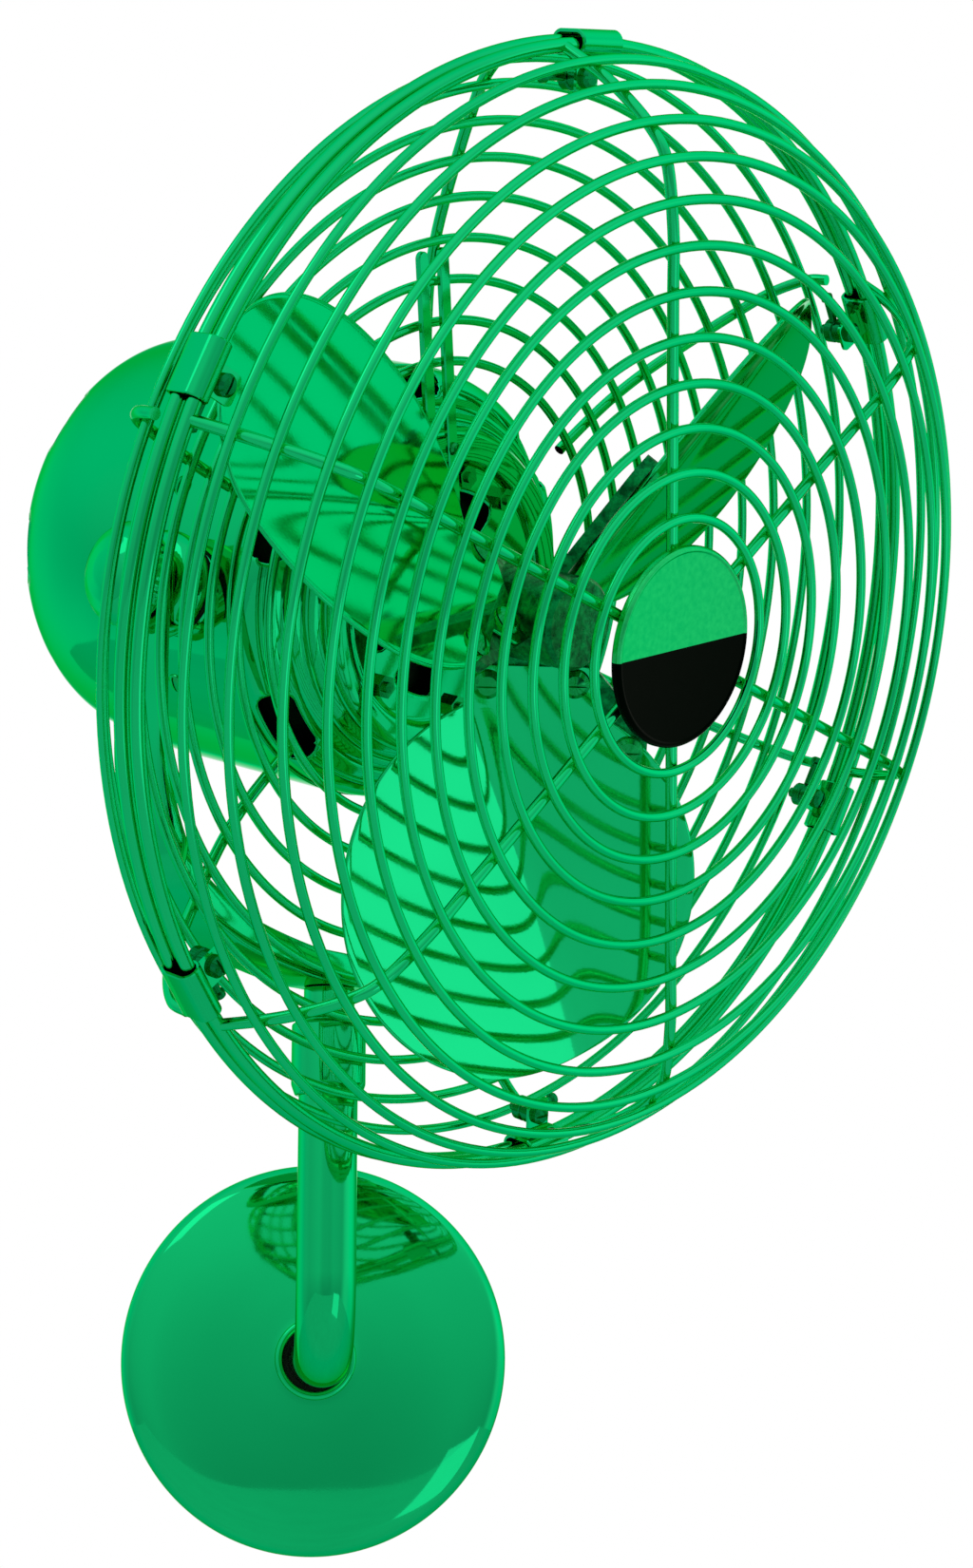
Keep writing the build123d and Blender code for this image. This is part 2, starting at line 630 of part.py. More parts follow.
def hub():
    body = rod(HUB_R, HUB_BACK, HUB_FRONT)
    body = chamfer(body.edges().group_by(Axis.Z)[-1] + body.edges().group_by(Axis.Z)[0], 1.5)
    pad = Polyline(*PAD_CORNERS, close=True)
    pad = fillet(make_face(pad).vertices(), 3)
    drop = -BLADE_T / 2 - PAD_GAP
    arm = root_frame() * Pos(0, 0, drop) * extrude(pad, amount=-HUB_ARM_T)
    clear = root_frame() * Pos(0, 0, drop) * extrude(Pos(60, 5) * Rectangle(88, 100), amount=8)
    for i in range(BLADES):
        body += turned_about_z(arm, BLADE_FIRST + i * 360 / BLADES)
    for i in range(BLADES):
        body -= turned_about_z(clear, BLADE_FIRST + i * 360 / BLADES)
        for spot in SCREW_SPOTS:
            hole = root_frame() * Pos(*spot) * rod(BLADE_SCREW_R + SEAT, -12, 12)
            body -= turned_about_z(hole, BLADE_FIRST + i * 360 / BLADES)
    body -= rod(SHAFT_R + SEAT, HUB_BACK - 1, SHAFT_FRONT + 0.5)
    body -= Pos(0, 0, HUB_BACK + 7) * Rot(0, 90, 0) * rod(HUB_SCREW_R + SEAT, 0, HUB_R + 8)
    return body


def hub_set_screw():
    one = rod(HUB_SCREW_R, SHAFT_R + SEAT, HUB_R - 0.6)
    one -= extrude(Plane.XY.offset(HUB_R - 3) * RegularPolygon(1.4, 6), amount=4)
    return Pos(0, 0, HUB_BACK + 7) * Rot(0, 90, 0) * one


def blade_screws():
    under = -BLADE_T / 2 - HUB_ARM_T
    seat = BLADE_T / 2 + SCREW_SEAT
    head = turned([(0, seat), (5.6, seat), (5.2, seat + 1.3), (3.6, seat + 2.6), (0, seat + 3.2)])
    head += rod(BLADE_SCREW_R, under, seat)
    head -= Pos(0, 0, seat + 3.0) * Box(1.2, 12, 2.2)
    parts = []
    for i in range(BLADES):
        for spot in SCREW_SPOTS:
            placed = root_frame() * Pos(*spot) * head
            parts.append(turned_about_z(placed, BLADE_FIRST + i * 360 / BLADES))
    return Compound(children=parts)


# Guards


def wire_ring(radius, z, wire):
    return Pos(0, 0, z) * Torus(radius, wire)


def spoke_path(rings, side, first, last):
    distance = WIRE_R + SPOKE_R - WELD
    points = [(first[0], 0, first[1])]
    chain = [first] + list(rings) + [last]
    for i in range(1, len(chain) - 1):
        dr = chain[i + 1][0] - chain[i - 1][0]
        dz = chain[i + 1][1] - chain[i - 1][1]
        size = hypot(dr, dz)
        points.append((chain[i][0] + side * distance * dz / size, 0, chain[i][1] - distance * dr / size))
    points.append((last[0], 0, last[1]))
    return points


def wire_along(points, radius):
    path = Spline(*points)
    start = Plane(origin=path @ 0, z_dir=path % 0)
    return sweep(start * Circle(radius), path=path)


def front_guard():
    body = wire_ring(*FRONT_RIM, RIM_WIRE_R)
    for radius, z in FRONT_RINGS:
        body += wire_ring(radius, z, WIRE_R)
    spoke_z = FRONT_RINGS[0][1] - WIRE_R - SPOKE_R + WELD
    straight = [(r, 0, spoke_z) for r in (9.0, 50.0, 90.0, 120.0, 142.0)]
    bend = spoke_path(FRONT_RINGS[8:], 1, FRONT_RINGS[7], FRONT_RIM)
    spoke = wire_along(straight + bend[1:], SPOKE_R)
    for i in range(SPOKE_COUNT):
        body += turned_about_z(spoke, SPOKE_FIRST + i * 360 / SPOKE_COUNT)
    return body


def rear_guard():
    body = wire_ring(*REAR_RIM, RIM_WIRE_R)
    for radius, z in REAR_RINGS:
        body += wire_ring(radius, z, WIRE_R)
    first = (REAR_RINGS[0][0] - 2.5, REAR_RINGS[0][1] - WIRE_R - SPOKE_R + WELD)
    spoke = wire_along(spoke_path(REAR_RINGS, 1, first, REAR_RIM), SPOKE_R)
    for i in range(SPOKE_COUNT):
        body += turned_about_z(spoke, SPOKE_FIRST + i * 360 / SPOKE_COUNT)
    return body


def clip_section(grow):
    radius = RIM_WIRE_R + CLIP_PLAY + grow
    return SlotOverall(FRONT_RIM[1] - REAR_RIM[1] + 2 * radius, 2 * radius)


def rim_clip():
    middle_r = (FRONT_RIM[0] + REAR_RIM[0]) / 2
    middle_z = (FRONT_RIM[1] + REAR_RIM[1]) / 2
    plane = Plane(origin=(middle_r, 0, middle_z), x_dir=(0, 0, 1), z_dir=(0, 1, 0))
    sleeve = extrude(plane * clip_section(CLIP_T), amount=CLIP_L / 2, both=True)
    sleeve -= extrude(plane * clip_section(0), amount=CLIP_L, both=True)
    lug_l = middle_r - RIM_WIRE_R - 0.8 - CLIP_LUG_IN
    lug = Pos(CLIP_LUG_IN + lug_l / 2, 0, middle_z) * Box(lug_l, 11, CLIP_T)
    hole = rod(CLIP_BOLT_R + SEAT, middle_z - 5, middle_z + 5, CLIP_BOLT_AT)
    return sleeve + lug - hole


def around_clips(shape):
    angles = [SPOKE_FIRST - CLIP_BEFORE_SPOKE + i * 360 / SPOKE_COUNT for i in range(SPOKE_COUNT)]
    return Compound(children=[turned_about_z(shape, angle) for angle in angles])


def clip_screw():
    z = (FRONT_RIM[1] + REAR_RIM[1]) / 2 + CLIP_T / 2 + SEAT
    body = rod(CLIP_BOLT_R, z - 13, z) + ring_head(z)
    return Pos(CLIP_BOLT_AT, 0, 0) * body


def ring_head(z):
    head = turned([(0, z), (3.8, z), (3.8, z + 1.4), (2.6, z + 2.6), (0, z + 3.0)])
    return head - Pos(0, 0, z + 2.8) * Box(0.9, 8, 1.8)


def clip_nut():
    z = (FRONT_RIM[1] + REAR_RIM[1]) / 2 - CLIP_T / 2 - SEAT
    bore = CLIP_BOLT_R + SEAT
    body = turned([
        (bore, z - 9), (CLIP_NUT_R - 0.6, z - 9), (CLIP_NUT_R, z - 8.4), (CLIP_NUT_R, z - 5.4),
        (CLIP_NUT_R - 0.7, z - 4.9), (CLIP_NUT_R - 0.7, z - 4.1), (CLIP_NUT_R, z - 3.6),
        (CLIP_NUT_R, z - 0.6), (CLIP_NUT_R - 0.6, z), (bore, z),
    ])
    return Pos(CLIP_BOLT_AT, 0, 0) * body


def clip_pin():
    middle_z = (FRONT_RIM[1] + REAR_RIM[1]) / 2
    body = turned([(0, 0), (1.5, 0), (1.5, 9), (2.3, 9.6), (2.3, 11.4), (1.5, 12), (0, 12)])
    return Pos(CLIP_BOLT_AT, CLIP_NUT_R + SEAT, middle_z - 6.2) * Rot(-90, 0, 0) * body


def guard_straps():
    z = RIDGE_TOP + SEAT
    parts = []
    for base, start in ((STRAP_ANGLE, STRAP_IN), (STRAP_ANGLE - 180, STRAP_LOW_IN)):
        for side in (-1, 1):
            bar = Box(STRAP_OUT - start, STRAP_W, STRAP_T, align=(Align.MIN, Align.CENTER, Align.MIN))
            bar = fillet(bar.edges().filter_by(Axis.Z), STRAP_W / 2 - 0.1)
            hole = rod(STRAP_SCREW_R + SEAT, -1, STRAP_T + 1, STRAP_SCREW_AT - start)
            bar = Pos(start, side * STRAP_PITCH / 2, z) * (bar - hole)
            parts.append(turned_about_z(bar, base))
    return Compound(children=parts)


def strap_screws():
    z = RIDGE_TOP + 2 * SEAT + STRAP_T
    one = rod(STRAP_SCREW_R, RIDGE_TOP - 8, z)
    one += turned([(0, z), (2.4, z), (2.4, z + 0.8), (1.6, z + 1.5), (0, z + 1.8)])
    one -= Pos(0, 0, z + 1.7) * Box(0.7, 6, 1.0)
    return Compound(children=[Pos(x, y, 0) * one for x, y in strap_screw_spots()])


# Medallion


def badge_low():
    return FRONT_RINGS[0][1] - WIRE_R + WELD + SEAT


def medallion():
    low = badge_low()
    edge = low + BADGE_T - 0.2
    face = low + BADGE_T - 0.7
    points = [
        (0, low), (BADGE_R - 0.8, low), (BADGE_R, low + 0.8), (BADGE_R, edge - 1.0),
        (BADGE_R - 1.0, edge), (BADGE_R - 1.8, edge), (BADGE_R - 2.2, face), (0, face),
    ]
    return turned(points) - rod(BADGE_SCREW_R + SEAT, low - 1, low + 2.6)


def badge_back_plate():
    high = FRONT_RINGS[0][1] - WIRE_R - 2 * SPOKE_R + WELD - SEAT
    low = high - BACK_PLATE_T
    points = [
        (0, low), (BACK_PLATE_R - 0.8, low), (BACK_PLATE_R, low + 0.8), (BACK_PLATE_R, high), (0, high),
    ]
    return turned(points) - rod(BADGE_SCREW_R + SEAT, high - 5, high + 1)


def badge_screw():
    back = FRONT_RINGS[0][1] - WIRE_R - 2 * SPOKE_R + WELD - SEAT - BACK_PLATE_T - SEAT
    body = rod(BADGE_SCREW_R, back, badge_low() + 2.2)
    return body + turned([(0, back), (5, back), (4.6, back - 1.6), (2.8, back - 2.8), (0, back - 3.2)])


def save(name, shape):
    export_step(shape, os.path.join("parts", name + ".step"))


def main():
    os.makedirs("parts", exist_ok=True)
    fixed = {
        "wall_bracket": wall_bracket(), "canopy": canopy(), "arm_tube": arm_tube(),
        "swivel_collar": swivel_collar(), "swivel_set_screw": swivel_set_screw(),
    }
    swivel = {
        "swivel_stem": swivel_stem(), "swivel_nut": swivel_nut(), "yoke": yoke(),
        "stem_bolt": stem_bolt(), "arm_washers": arm_washers(),
    }
    fan = {
        "tilt_knob_left": tilt_knob(-1), "tilt_knob_right": tilt_knob(1),
        "pivot_bosses": pivot_bosses(), "rubber_washers": rubber_washers(),
        "pivot_studs": pivot_studs(), "pivot_brackets": pivot_brackets(),
        "bracket_screws": bracket_screws(), "motor_shell": motor_shell(),
        "motor_front_cover": motor_front_cover(), "motor_bolts": motor_bolts(),
        "front_nuts": front_nuts(), "rear_bearing_plate": rear_bearing_plate(),
        "stator_core": stator_core(), "stator_windings": stator_windings(),
        "front_bearing": bearing(FRONT_BEARING_Z), "rear_bearing": bearing(REAR_BEARING_Z),
        "run_capacitor": run_capacitor(), "shaft": shaft(), "rotor_core": rotor_core(),
        "hub": hub(), "hub_set_screw": hub_set_screw(), "blade_screws": blade_screws(),
        "front_guard": front_guard(), "rear_guard": rear_guard(),
        "rim_clips": around_clips(rim_clip()), "clip_screws": around_clips(clip_screw()),
        "clip_nuts": around_clips(clip_nut()), "clip_pins": around_clips(clip_pin()),
        "guard_straps": guard_straps(), "strap_screws": strap_screws(),
        "medallion": medallion(), "badge_back_plate": badge_back_plate(), "badge_screw": badge_screw(),
    }
    blade = blade_one()
    for i in range(BLADES):
        fan["blade_" + str(i + 1)] = turned_about_z(blade, BLADE_FIRST + i * 360 / BLADES)
    for name, shape in fixed.items():
        save(name, shape)
    for name, shape in swivel.items():
        save(name, yoke_place() * shape)
    for name, shape in fan.items():
        save(name, fan_place() * shape)


main()
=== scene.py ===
import bpy
import bmesh
import numpy as np
from mathutils import Matrix

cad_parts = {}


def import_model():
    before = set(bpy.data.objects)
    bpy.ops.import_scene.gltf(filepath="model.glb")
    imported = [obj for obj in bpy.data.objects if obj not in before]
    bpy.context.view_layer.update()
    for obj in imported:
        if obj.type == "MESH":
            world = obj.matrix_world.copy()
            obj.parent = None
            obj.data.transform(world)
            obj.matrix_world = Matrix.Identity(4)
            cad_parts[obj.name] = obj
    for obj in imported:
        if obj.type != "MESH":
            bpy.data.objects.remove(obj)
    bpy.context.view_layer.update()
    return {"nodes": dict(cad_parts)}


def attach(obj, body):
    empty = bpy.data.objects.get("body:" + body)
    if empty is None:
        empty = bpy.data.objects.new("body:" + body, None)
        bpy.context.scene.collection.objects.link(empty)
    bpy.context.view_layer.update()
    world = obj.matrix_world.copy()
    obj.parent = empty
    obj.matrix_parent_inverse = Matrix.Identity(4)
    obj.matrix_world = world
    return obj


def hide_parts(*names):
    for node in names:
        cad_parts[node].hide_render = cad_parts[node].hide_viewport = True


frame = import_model()

MM = 0.001
TAU = 2 * np.pi

# Pose and stations of the fan, in degrees and millimetres
PAN, TILT = np.radians(45.58), np.radians(19.34)
ARM_OUT, PIVOT_H = 130.0, 271.9
AXIS_RISE, PIVOT_SET = 24.0, 8.4


# Places

def place(origin, x_dir, y_dir, z_dir):
    """Carries local millimetres to the row frame in metres.

    Each point is the origin plus each local axis times its coordinate.
    """
    axes = np.array([x_dir, y_dir, z_dir], float)
    start = np.array(origin, float)
    return lambda points: (np.asarray(points, float) @ axes + start) * MM


side = np.array([np.cos(PAN), np.sin(PAN), 0.0])
front = np.array([np.sin(PAN) * np.cos(TILT), -np.cos(PAN) * np.cos(TILT), -np.sin(TILT)])
rise = np.cross(front, side)
pivot = np.array([0.0, -ARM_OUT, PIVOT_H])
axis_start = pivot + rise * AXIS_RISE - front * PIVOT_SET

on_fan = place(axis_start, side, rise, front)
on_yoke = place((0, -ARM_OUT, 0), side, np.cross((0, 0, 1), side), (0, 0, 1))
on_wall = place((0, 0, 0), (1, 0, 0), (0, 0, 1), (0, -1, 0))
on_left = place(pivot, front, rise, -side)
on_right = place(pivot, front, -rise, side)


# Shapes

def piece(name, body, points, faces, material, stands_for=(), closed=True):
    """A mesh object from rows of points in metres and rows of corner numbers.

    Doubled points at poles and seams are merged, and a closed shape whose signed volume is negative
    is turned right side out.
    """
    mesh = bpy.data.meshes.new(name)
    rows = faces.tolist() if hasattr(faces, "tolist") else faces
    mesh.from_pydata(points.reshape(-1, 3).tolist(), [], [list(dict.fromkeys(row)) for row in rows])
    work = bmesh.new()
    work.from_mesh(mesh)
    bmesh.ops.remove_doubles(work, verts=work.verts, dist=2e-7)
    if closed and work.calc_volume(signed=True) < 0:
        bmesh.ops.reverse_faces(work, faces=work.faces)
    work.to_mesh(mesh)
    work.free()
    mesh.shade_smooth()
    mesh.set_sharp_from_angle(angle=np.radians(38))
    mesh.materials.append(material)
    thing = bpy.data.objects.new(name, mesh)
    bpy.context.scene.collection.objects.link(thing)
    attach(thing, body)
    if stands_for:
        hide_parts(*stands_for)
    return thing


def grid_faces(rows, cols, close_rows=False, close_cols=False):
    """Corner numbers of the quads of a grid of rows by cols points, wrapped round where it closes."""
    r = np.arange(rows if close_rows else rows - 1)[:, None]
    c = np.arange(cols if close_cols else cols - 1)[None, :]
    r2, c2 = (r + 1) % rows, (c + 1) % cols
    quads = np.stack([r * cols + c, r2 * cols + c, r2 * cols + c2, r * cols + c2], -1)
    return quads.reshape(-1, 4)


def smooth_line(points, per=8):
    """Points along a curve through the given ones.

    Each stretch is the cubic that leaves and arrives along the chords of its neighbours.
    """
    p = np.asarray(points, float)
    ends = np.concatenate([[2 * p[0] - p[1]], p, [2 * p[-1] - p[-2]]])
    slope = (ends[2:] - ends[:-2]) / 2
    t = np.linspace(0, 1, per, endpoint=False)[None, :, None]
    a, b = p[:-1, None], p[1:, None]
    ma, mb = slope[:-1, None], slope[1:, None]
    leaving = (2 * t**3 - 3 * t**2 + 1) * a + (t**3 - 2 * t**2 + t) * ma
    out = leaving + (3 * t**2 - 2 * t**3) * b + (t**3 - t**2) * mb
    return np.concatenate([out.reshape(-1, p.shape[1]), p[-1:]])


def eased(points, radius, steps=4, closed=False):
    """A broken line with every corner rounded.

    Each corner becomes the parabola between points at most radius before and after it.
    """
    p = np.asarray(points, float)
    before, after = np.roll(p, 1, 0), np.roll(p, -1, 0)
    to_b, to_a = before - p, after - p
    lb = np.linalg.norm(to_b, axis=1, keepdims=True)
    la = np.linalg.norm(to_a, axis=1, keepdims=True)
    cut = np.minimum(radius, np.minimum(lb, la) * 0.45)
    start, end = p + to_b / np.maximum(lb, 1e-9) * cut, p + to_a / np.maximum(la, 1e-9) * cut
    t = np.linspace(0, 1, steps + 1)[None, :, None]
    arc = (1 - t)**2 * start[:, None] + 2 * t * (1 - t) * p[:, None] + t**2 * end[:, None]
    if closed:
        return arc.reshape(-1, p.shape[1])
    return np.concatenate([p[:1], arc[1:-1].reshape(-1, p.shape[1]), p[-1:]])


def turned(profile, turns=128, flute=None):
    """A turned shape: each profile point (radius, height) goes round the local Z axis.

    A flute function may change the radius by angle and height.
    """
    profile = np.asarray(profile, float)
    angle = np.linspace(0, TAU, turns, endpoint=False)
    r = np.repeat(profile[:, :1], turns, 1)
    if flute is not None:
        r = r + flute(r, profile[:, 1:2], angle[None, :])
    z = np.repeat(profile[:, 1:2], turns, 1)
    points = np.stack([r * np.cos(angle), r * np.sin(angle), z], -1)
    return points, grid_faces(len(profile), turns, False, True)


def pipe(path, radius, sides=16, closed=False):
    """A pipe: circles of the given radius square to the path.

    Each circle is turned as little as possible from the one before.
    """
    p = np.asarray(path, float)
    ahead = np.roll(p, -1, 0) - np.roll(p, 1, 0)
    if not closed:
        ahead[0], ahead[-1] = p[1] - p[0], p[-1] - p[-2]
    t = ahead / np.linalg.norm(ahead, axis=1, keepdims=True)
    n = np.zeros_like(p)
    seed = np.cross(t[0], (0.31, 0.17, 0.94))
    n[0] = seed / np.linalg.norm(seed)
    for i in range(1, len(p)):
        across = n[i - 1] - t[i] * np.dot(n[i - 1], t[i])
        n[i] = across / np.linalg.norm(across)
    b = np.cross(t, n)
    angle = np.linspace(0, TAU, sides, endpoint=False)
    r = np.broadcast_to(np.asarray(radius, float).reshape(-1, 1, 1), (len(p), 1, 1))
    ring = n[:, None] * np.cos(angle)[None, :, None] + b[:, None] * np.sin(angle)[None, :, None]
    points = p[:, None] + r * ring
    faces = grid_faces(len(p), sides, closed, True)
    if closed:
        return points, faces
    tips = np.concatenate([p[:1], p[-1:]])
    count = points.shape[0] * sides
    k = np.arange(sides)
    k2 = (k + 1) % sides
    low = np.stack([np.full(sides, count), k2, k, k], -1)
    top = (len(p) - 1) * sides
    high = np.stack([np.full(sides, count + 1), top + k, top + k2, top + k2], -1)
    return np.concatenate([points.reshape(-1, 3), tips]), np.concatenate([faces, low, high])


def hoop(radius, height, wire, turns=200, sides=14):
    """A closed ring of wire round the local Z axis.

    A circle of the wire's radius is carried round a circle of the ring's radius.
    """
    a = np.linspace(0, TAU, turns, endpoint=False)[:, None]
    b = np.linspace(0, TAU, sides, endpoint=False)[None, :]
    r = radius + wire * np.cos(b)
    z = height + wire * np.sin(b) + 0 * a
    return np.stack([r * np.cos(a), r * np.sin(a), z], -1), grid_faces(turns, sides, True, True)


def joined(parts):
    """Several point and face sets as one set, with the later faces counted on from the earlier points."""
    points, faces, count = [], [], 0
    for p, f in parts:
        flat = np.asarray(p, float).reshape(-1, 3)
        points.append(flat)
        faces += [[int(i) + count for i in dict.fromkeys(row)] for row in np.asarray(f).tolist()]
        count += len(flat)
    return np.concatenate(points), faces


def spun(points, degrees):
    """Points turned round the local Z axis by an angle in degrees."""
    a = np.radians(degrees)
    turn = np.array([[np.cos(a), np.sin(a), 0], [-np.sin(a), np.cos(a), 0], [0, 0, 1]])
    return np.asarray(points, float) @ turn


# Materials

class Finish:
    """A material being built from nodes, with short calls to add and join them."""

    def __init__(self, name):
        self.material = bpy.data.materials.new(name)
        self.material.use_nodes = True
        self.tree = self.material.node_tree
        self.shader = self.tree.nodes["Principled BSDF"]
        self.place = self.tree.nodes.new("ShaderNodeTexCoord").outputs["Object"]

    def node(self, kind, **values):
        """A new node of the given kind with its own settings."""
        made = self.tree.nodes.new(kind)
        for key, value in values.items():
            setattr(made, key, value)
        return made

    def link(self, a, b):
        """Joins an output to an input."""
        self.tree.links.new(a, b)

    def noise(self, scale, detail=3.0, rough=0.5):
        """Soft random patches in the object's own space, as a value from 0 to 1."""
        made = self.node("ShaderNodeTexNoise")
        made.inputs["Scale"].default_value = scale
        made.inputs["Detail"].default_value = detail
        made.inputs["Roughness"].default_value = rough
        self.link(self.place, made.inputs["Vector"])
        return made.outputs["Fac"]

    def ramp(self, value, low, high, stops=(0.3, 0.7)):
        """Spreads a value between two tones, each a colour or one grey number."""
        made = self.node("ShaderNodeValToRGB")
        for element, stop, tone in zip(made.color_ramp.elements, stops, (low, high)):
            element.position = stop
            element.color = (*tone, 1) if isinstance(tone, tuple) else (tone, tone, tone, 1)
        self.link(value, made.inputs["Fac"])
        return made.outputs["Color"]

    def bump(self, height, strength, distance):
        """Raises and sinks the look of the surface by a value."""
        made = self.node("ShaderNodeBump")
        made.inputs["Strength"].default_value = strength
        made.inputs["Distance"].default_value = distance
        self.link(height, made.inputs["Height"])
        self.link(made.outputs["Normal"], self.shader.inputs["Normal"])


def plated(name, bright, deep, rough_low, rough_high, grain=900.0):
    """Tinted chrome plate.

    The colour drifts slowly between two close tints, the gloss is patchy from handling, and a fine
    bump breaks the reflections.
    """
    f = Finish(name)
    f.shader.inputs["Metallic"].default_value = 1.0
    f.shader.inputs["Specular Tint"].default_value = (*EDGE_GREEN, 1)
    f.link(f.ramp(f.noise(9.0, 2.0), deep, bright), f.shader.inputs["Base Color"])
    f.link(f.ramp(f.noise(38.0, 4.0, 0.6), rough_low, rough_high), f.shader.inputs["Roughness"])
    f.bump(f.noise(grain, 2.0), 0.25, PLATE_GRAIN_DEPTH)
    return f.material


PLATE_GRAIN_DEPTH = 0.00001
EDGE_GREEN = (0.015, 0.72, 0.27)
GREEN = (0.007, 0.68, 0.245)
GREEN_DEEP = (0.006, 0.60, 0.215)
polish = plated("green_polish", GREEN, GREEN_DEEP, 0.035, 0.085)
wire_finish = plated("green_wire", (0.010, 0.74, 0.27), (0.008, 0.62, 0.225), 0.05, 0.12, grain=2200.0)
blade_finish = plated("green_blade", (0.010, 0.76, 0.28), (0.008, 0.68, 0.25), 0.03, 0.07)
screw_finish = plated("green_screw", (0.01, 0.56, 0.17), (0.01, 0.40, 0.12), 0.12, 0.25)
dark_finish = plated("dark_clamp", (0.004, 0.34, 0.11), (0.002, 0.16, 0.05), 0.15, 0.3)


def cast_finish():
    """Rough casting under thin plate: a coarse lumpy noise drives the bump and paints its hollows darker as
    painted shade, and fine pits drive the gloss.
    """
    f = Finish("cast_hub")
    f.shader.inputs["Metallic"].default_value = 1.0
    lumps_and_hollow_shade = f.noise(260.0, 6.0, 0.65)
    # Painted shade: the colour is darker where the bump sinks
    tones = f.ramp(lumps_and_hollow_shade, (0.001, 0.10, 0.035), (0.003, 0.42, 0.13), (0.35, 0.65))
    f.link(tones, f.shader.inputs["Base Color"])
    f.link(f.ramp(f.noise(500.0, 3.0), 0.22, 0.5), f.shader.inputs["Roughness"])
    f.bump(lumps_and_hollow_shade, 0.7, 0.0006)
    return f.material


def rubber_finish():
    """Black rubber: near black, matt, with a faint fine tooth."""
    f = Finish("black_rubber")
    f.shader.inputs["Specular Tint"].default_value = (0.01, 0.2, 0.06, 1)
    f.shader.inputs["Specular IOR Level"].default_value = 0.2
    tones = f.ramp(f.noise(120.0, 4.0), (0.004, 0.005, 0.004), (0.012, 0.014, 0.012))
    f.link(tones, f.shader.inputs["Base Color"])
    f.link(f.ramp(f.noise(300.0), 0.55, 0.75), f.shader.inputs["Roughness"])
    f.bump(f.noise(1500.0, 2.0), 0.3, 0.0001)
    return f.material


def painted_finish(name, low, high, metallic=0.0):
    """Plain painted or plated steel: two close tones, a slight orange peel and uneven gloss."""
    f = Finish(name)
    f.shader.inputs["Metallic"].default_value = metallic
    f.shader.inputs["Specular Tint"].default_value = (0.05, 0.4, 0.16, 1)
    f.shader.inputs["Specular IOR Level"].default_value = 0.2
    f.link(f.ramp(f.noise(60.0, 4.0), low, high), f.shader.inputs["Base Color"])
    f.link(f.ramp(f.noise(160.0), 0.35, 0.55), f.shader.inputs["Roughness"])
    f.bump(f.noise(700.0, 3.0), 0.2, 0.00008)
    return f.material


def laminated_finish():
    """Stacked steel sheets: thin dark lines across the fan's axis."""
    f = Finish("laminations")
    f.shader.inputs["Metallic"].default_value = 0.8
    wave = f.node("ShaderNodeTexWave", wave_type="BANDS", bands_direction="Z")
    turn = f.node("ShaderNodeMapping")
    turn.inputs["Rotation"].default_value = Matrix((side, rise, front)).to_euler()
    f.link(f.place, turn.inputs["Vector"])
    f.link(turn.outputs["Vector"], wave.inputs["Vector"])
    wave.inputs["Scale"].default_value = 330.0
    tones = f.ramp(wave.outputs["Fac"], (0.03, 0.03, 0.035), (0.16, 0.16, 0.17), (0.1, 0.5))
    f.link(tones, f.shader.inputs["Base Color"])
    f.link(f.ramp(f.noise(90.0), 0.4, 0.6), f.shader.inputs["Roughness"])
    return f.material


def copper_finish():
    """Enamelled copper turns: fine stripes of lighter and darker copper."""
    f = Finish("copper_turns")
    f.shader.inputs["Metallic"].default_value = 0.9
    wave = f.node("ShaderNodeTexWave", wave_type="RINGS", rings_direction="SPHERICAL")
    f.link(f.place, wave.inputs["Vector"])
    wave.inputs["Scale"].default_value = 420.0
    wave.inputs["Distortion"].default_value = 1.5
    tones = f.ramp(wave.outputs["Fac"], (0.10, 0.03, 0.01), (0.45, 0.16, 0.05), (0.2, 0.7))
    f.link(tones, f.shader.inputs["Base Color"])
    f.link(f.ramp(f.noise(90.0), 0.25, 0.4), f.shader.inputs["Roughness"])
    return f.material


def badge_finish():
    """The medallion's enamel: light green metal above a line across the disc, black below it."""
    f = Finish("badge_two_tone")
    across = f.node("ShaderNodeVectorMath", operation="DOT_PRODUCT")
    f.link(f.place, across.inputs[0])
    line = rise * np.cos(BADGE_TURN) - side * np.sin(BADGE_TURN)
    across.inputs[1].default_value = line
    level = float(on_fan((0, 0, 0)) @ line)
    step = f.node("ShaderNodeMath", operation="GREATER_THAN")
    step.inputs[1].default_value = level
    f.link(across.outputs["Value"], step.inputs[0])
    mix = f.node("ShaderNodeMix", data_type="RGBA")
    mix.inputs["A"].default_value = (0.0004, 0.0015, 0.0008, 1)
    f.link(step.outputs[0], mix.inputs["Factor"])
    f.link(f.ramp(f.noise(500.0, 3.0), (0.015, 0.62, 0.19), (0.025, 0.72, 0.22)), mix.inputs["B"])
    f.link(mix.outputs["Result"], f.shader.inputs["Base Color"])
    f.link(step.outputs[0], f.shader.inputs["Metallic"])
    f.shader.inputs["Specular Tint"].default_value = (0.01, 0.6, 0.2, 1)
    f.shader.inputs["Specular IOR Level"].default_value = 0.02
    f.link(f.ramp(f.noise(240.0), 0.16, 0.26), f.shader.inputs["Roughness"])
    f.bump(f.noise(1600.0, 2.0), 0.2, 0.00004)
    return f.material


BADGE_TURN = np.radians(20.4)

cast = cast_finish()
rubber = rubber_finish()
badge = badge_finish()
lamination = laminated_finish()
copper = copper_finish()
black_steel = painted_finish("black_steel", (0.015, 0.016, 0.016), (0.03, 0.031, 0.031))
# Near-black paint for the skin inside the motor: painted shade behind the slots
shade_paint = painted_finish("painted_shade_black", (0.0004, 0.0012, 0.0008), (0.0008, 0.002, 0.0014))
zinc = painted_finish("zinc_steel", (0.36, 0.37, 0.38), (0.52, 0.53, 0.54), 1.0)
plastic = painted_finish("dark_plastic", (0.02, 0.02, 0.022), (0.035, 0.035, 0.04))

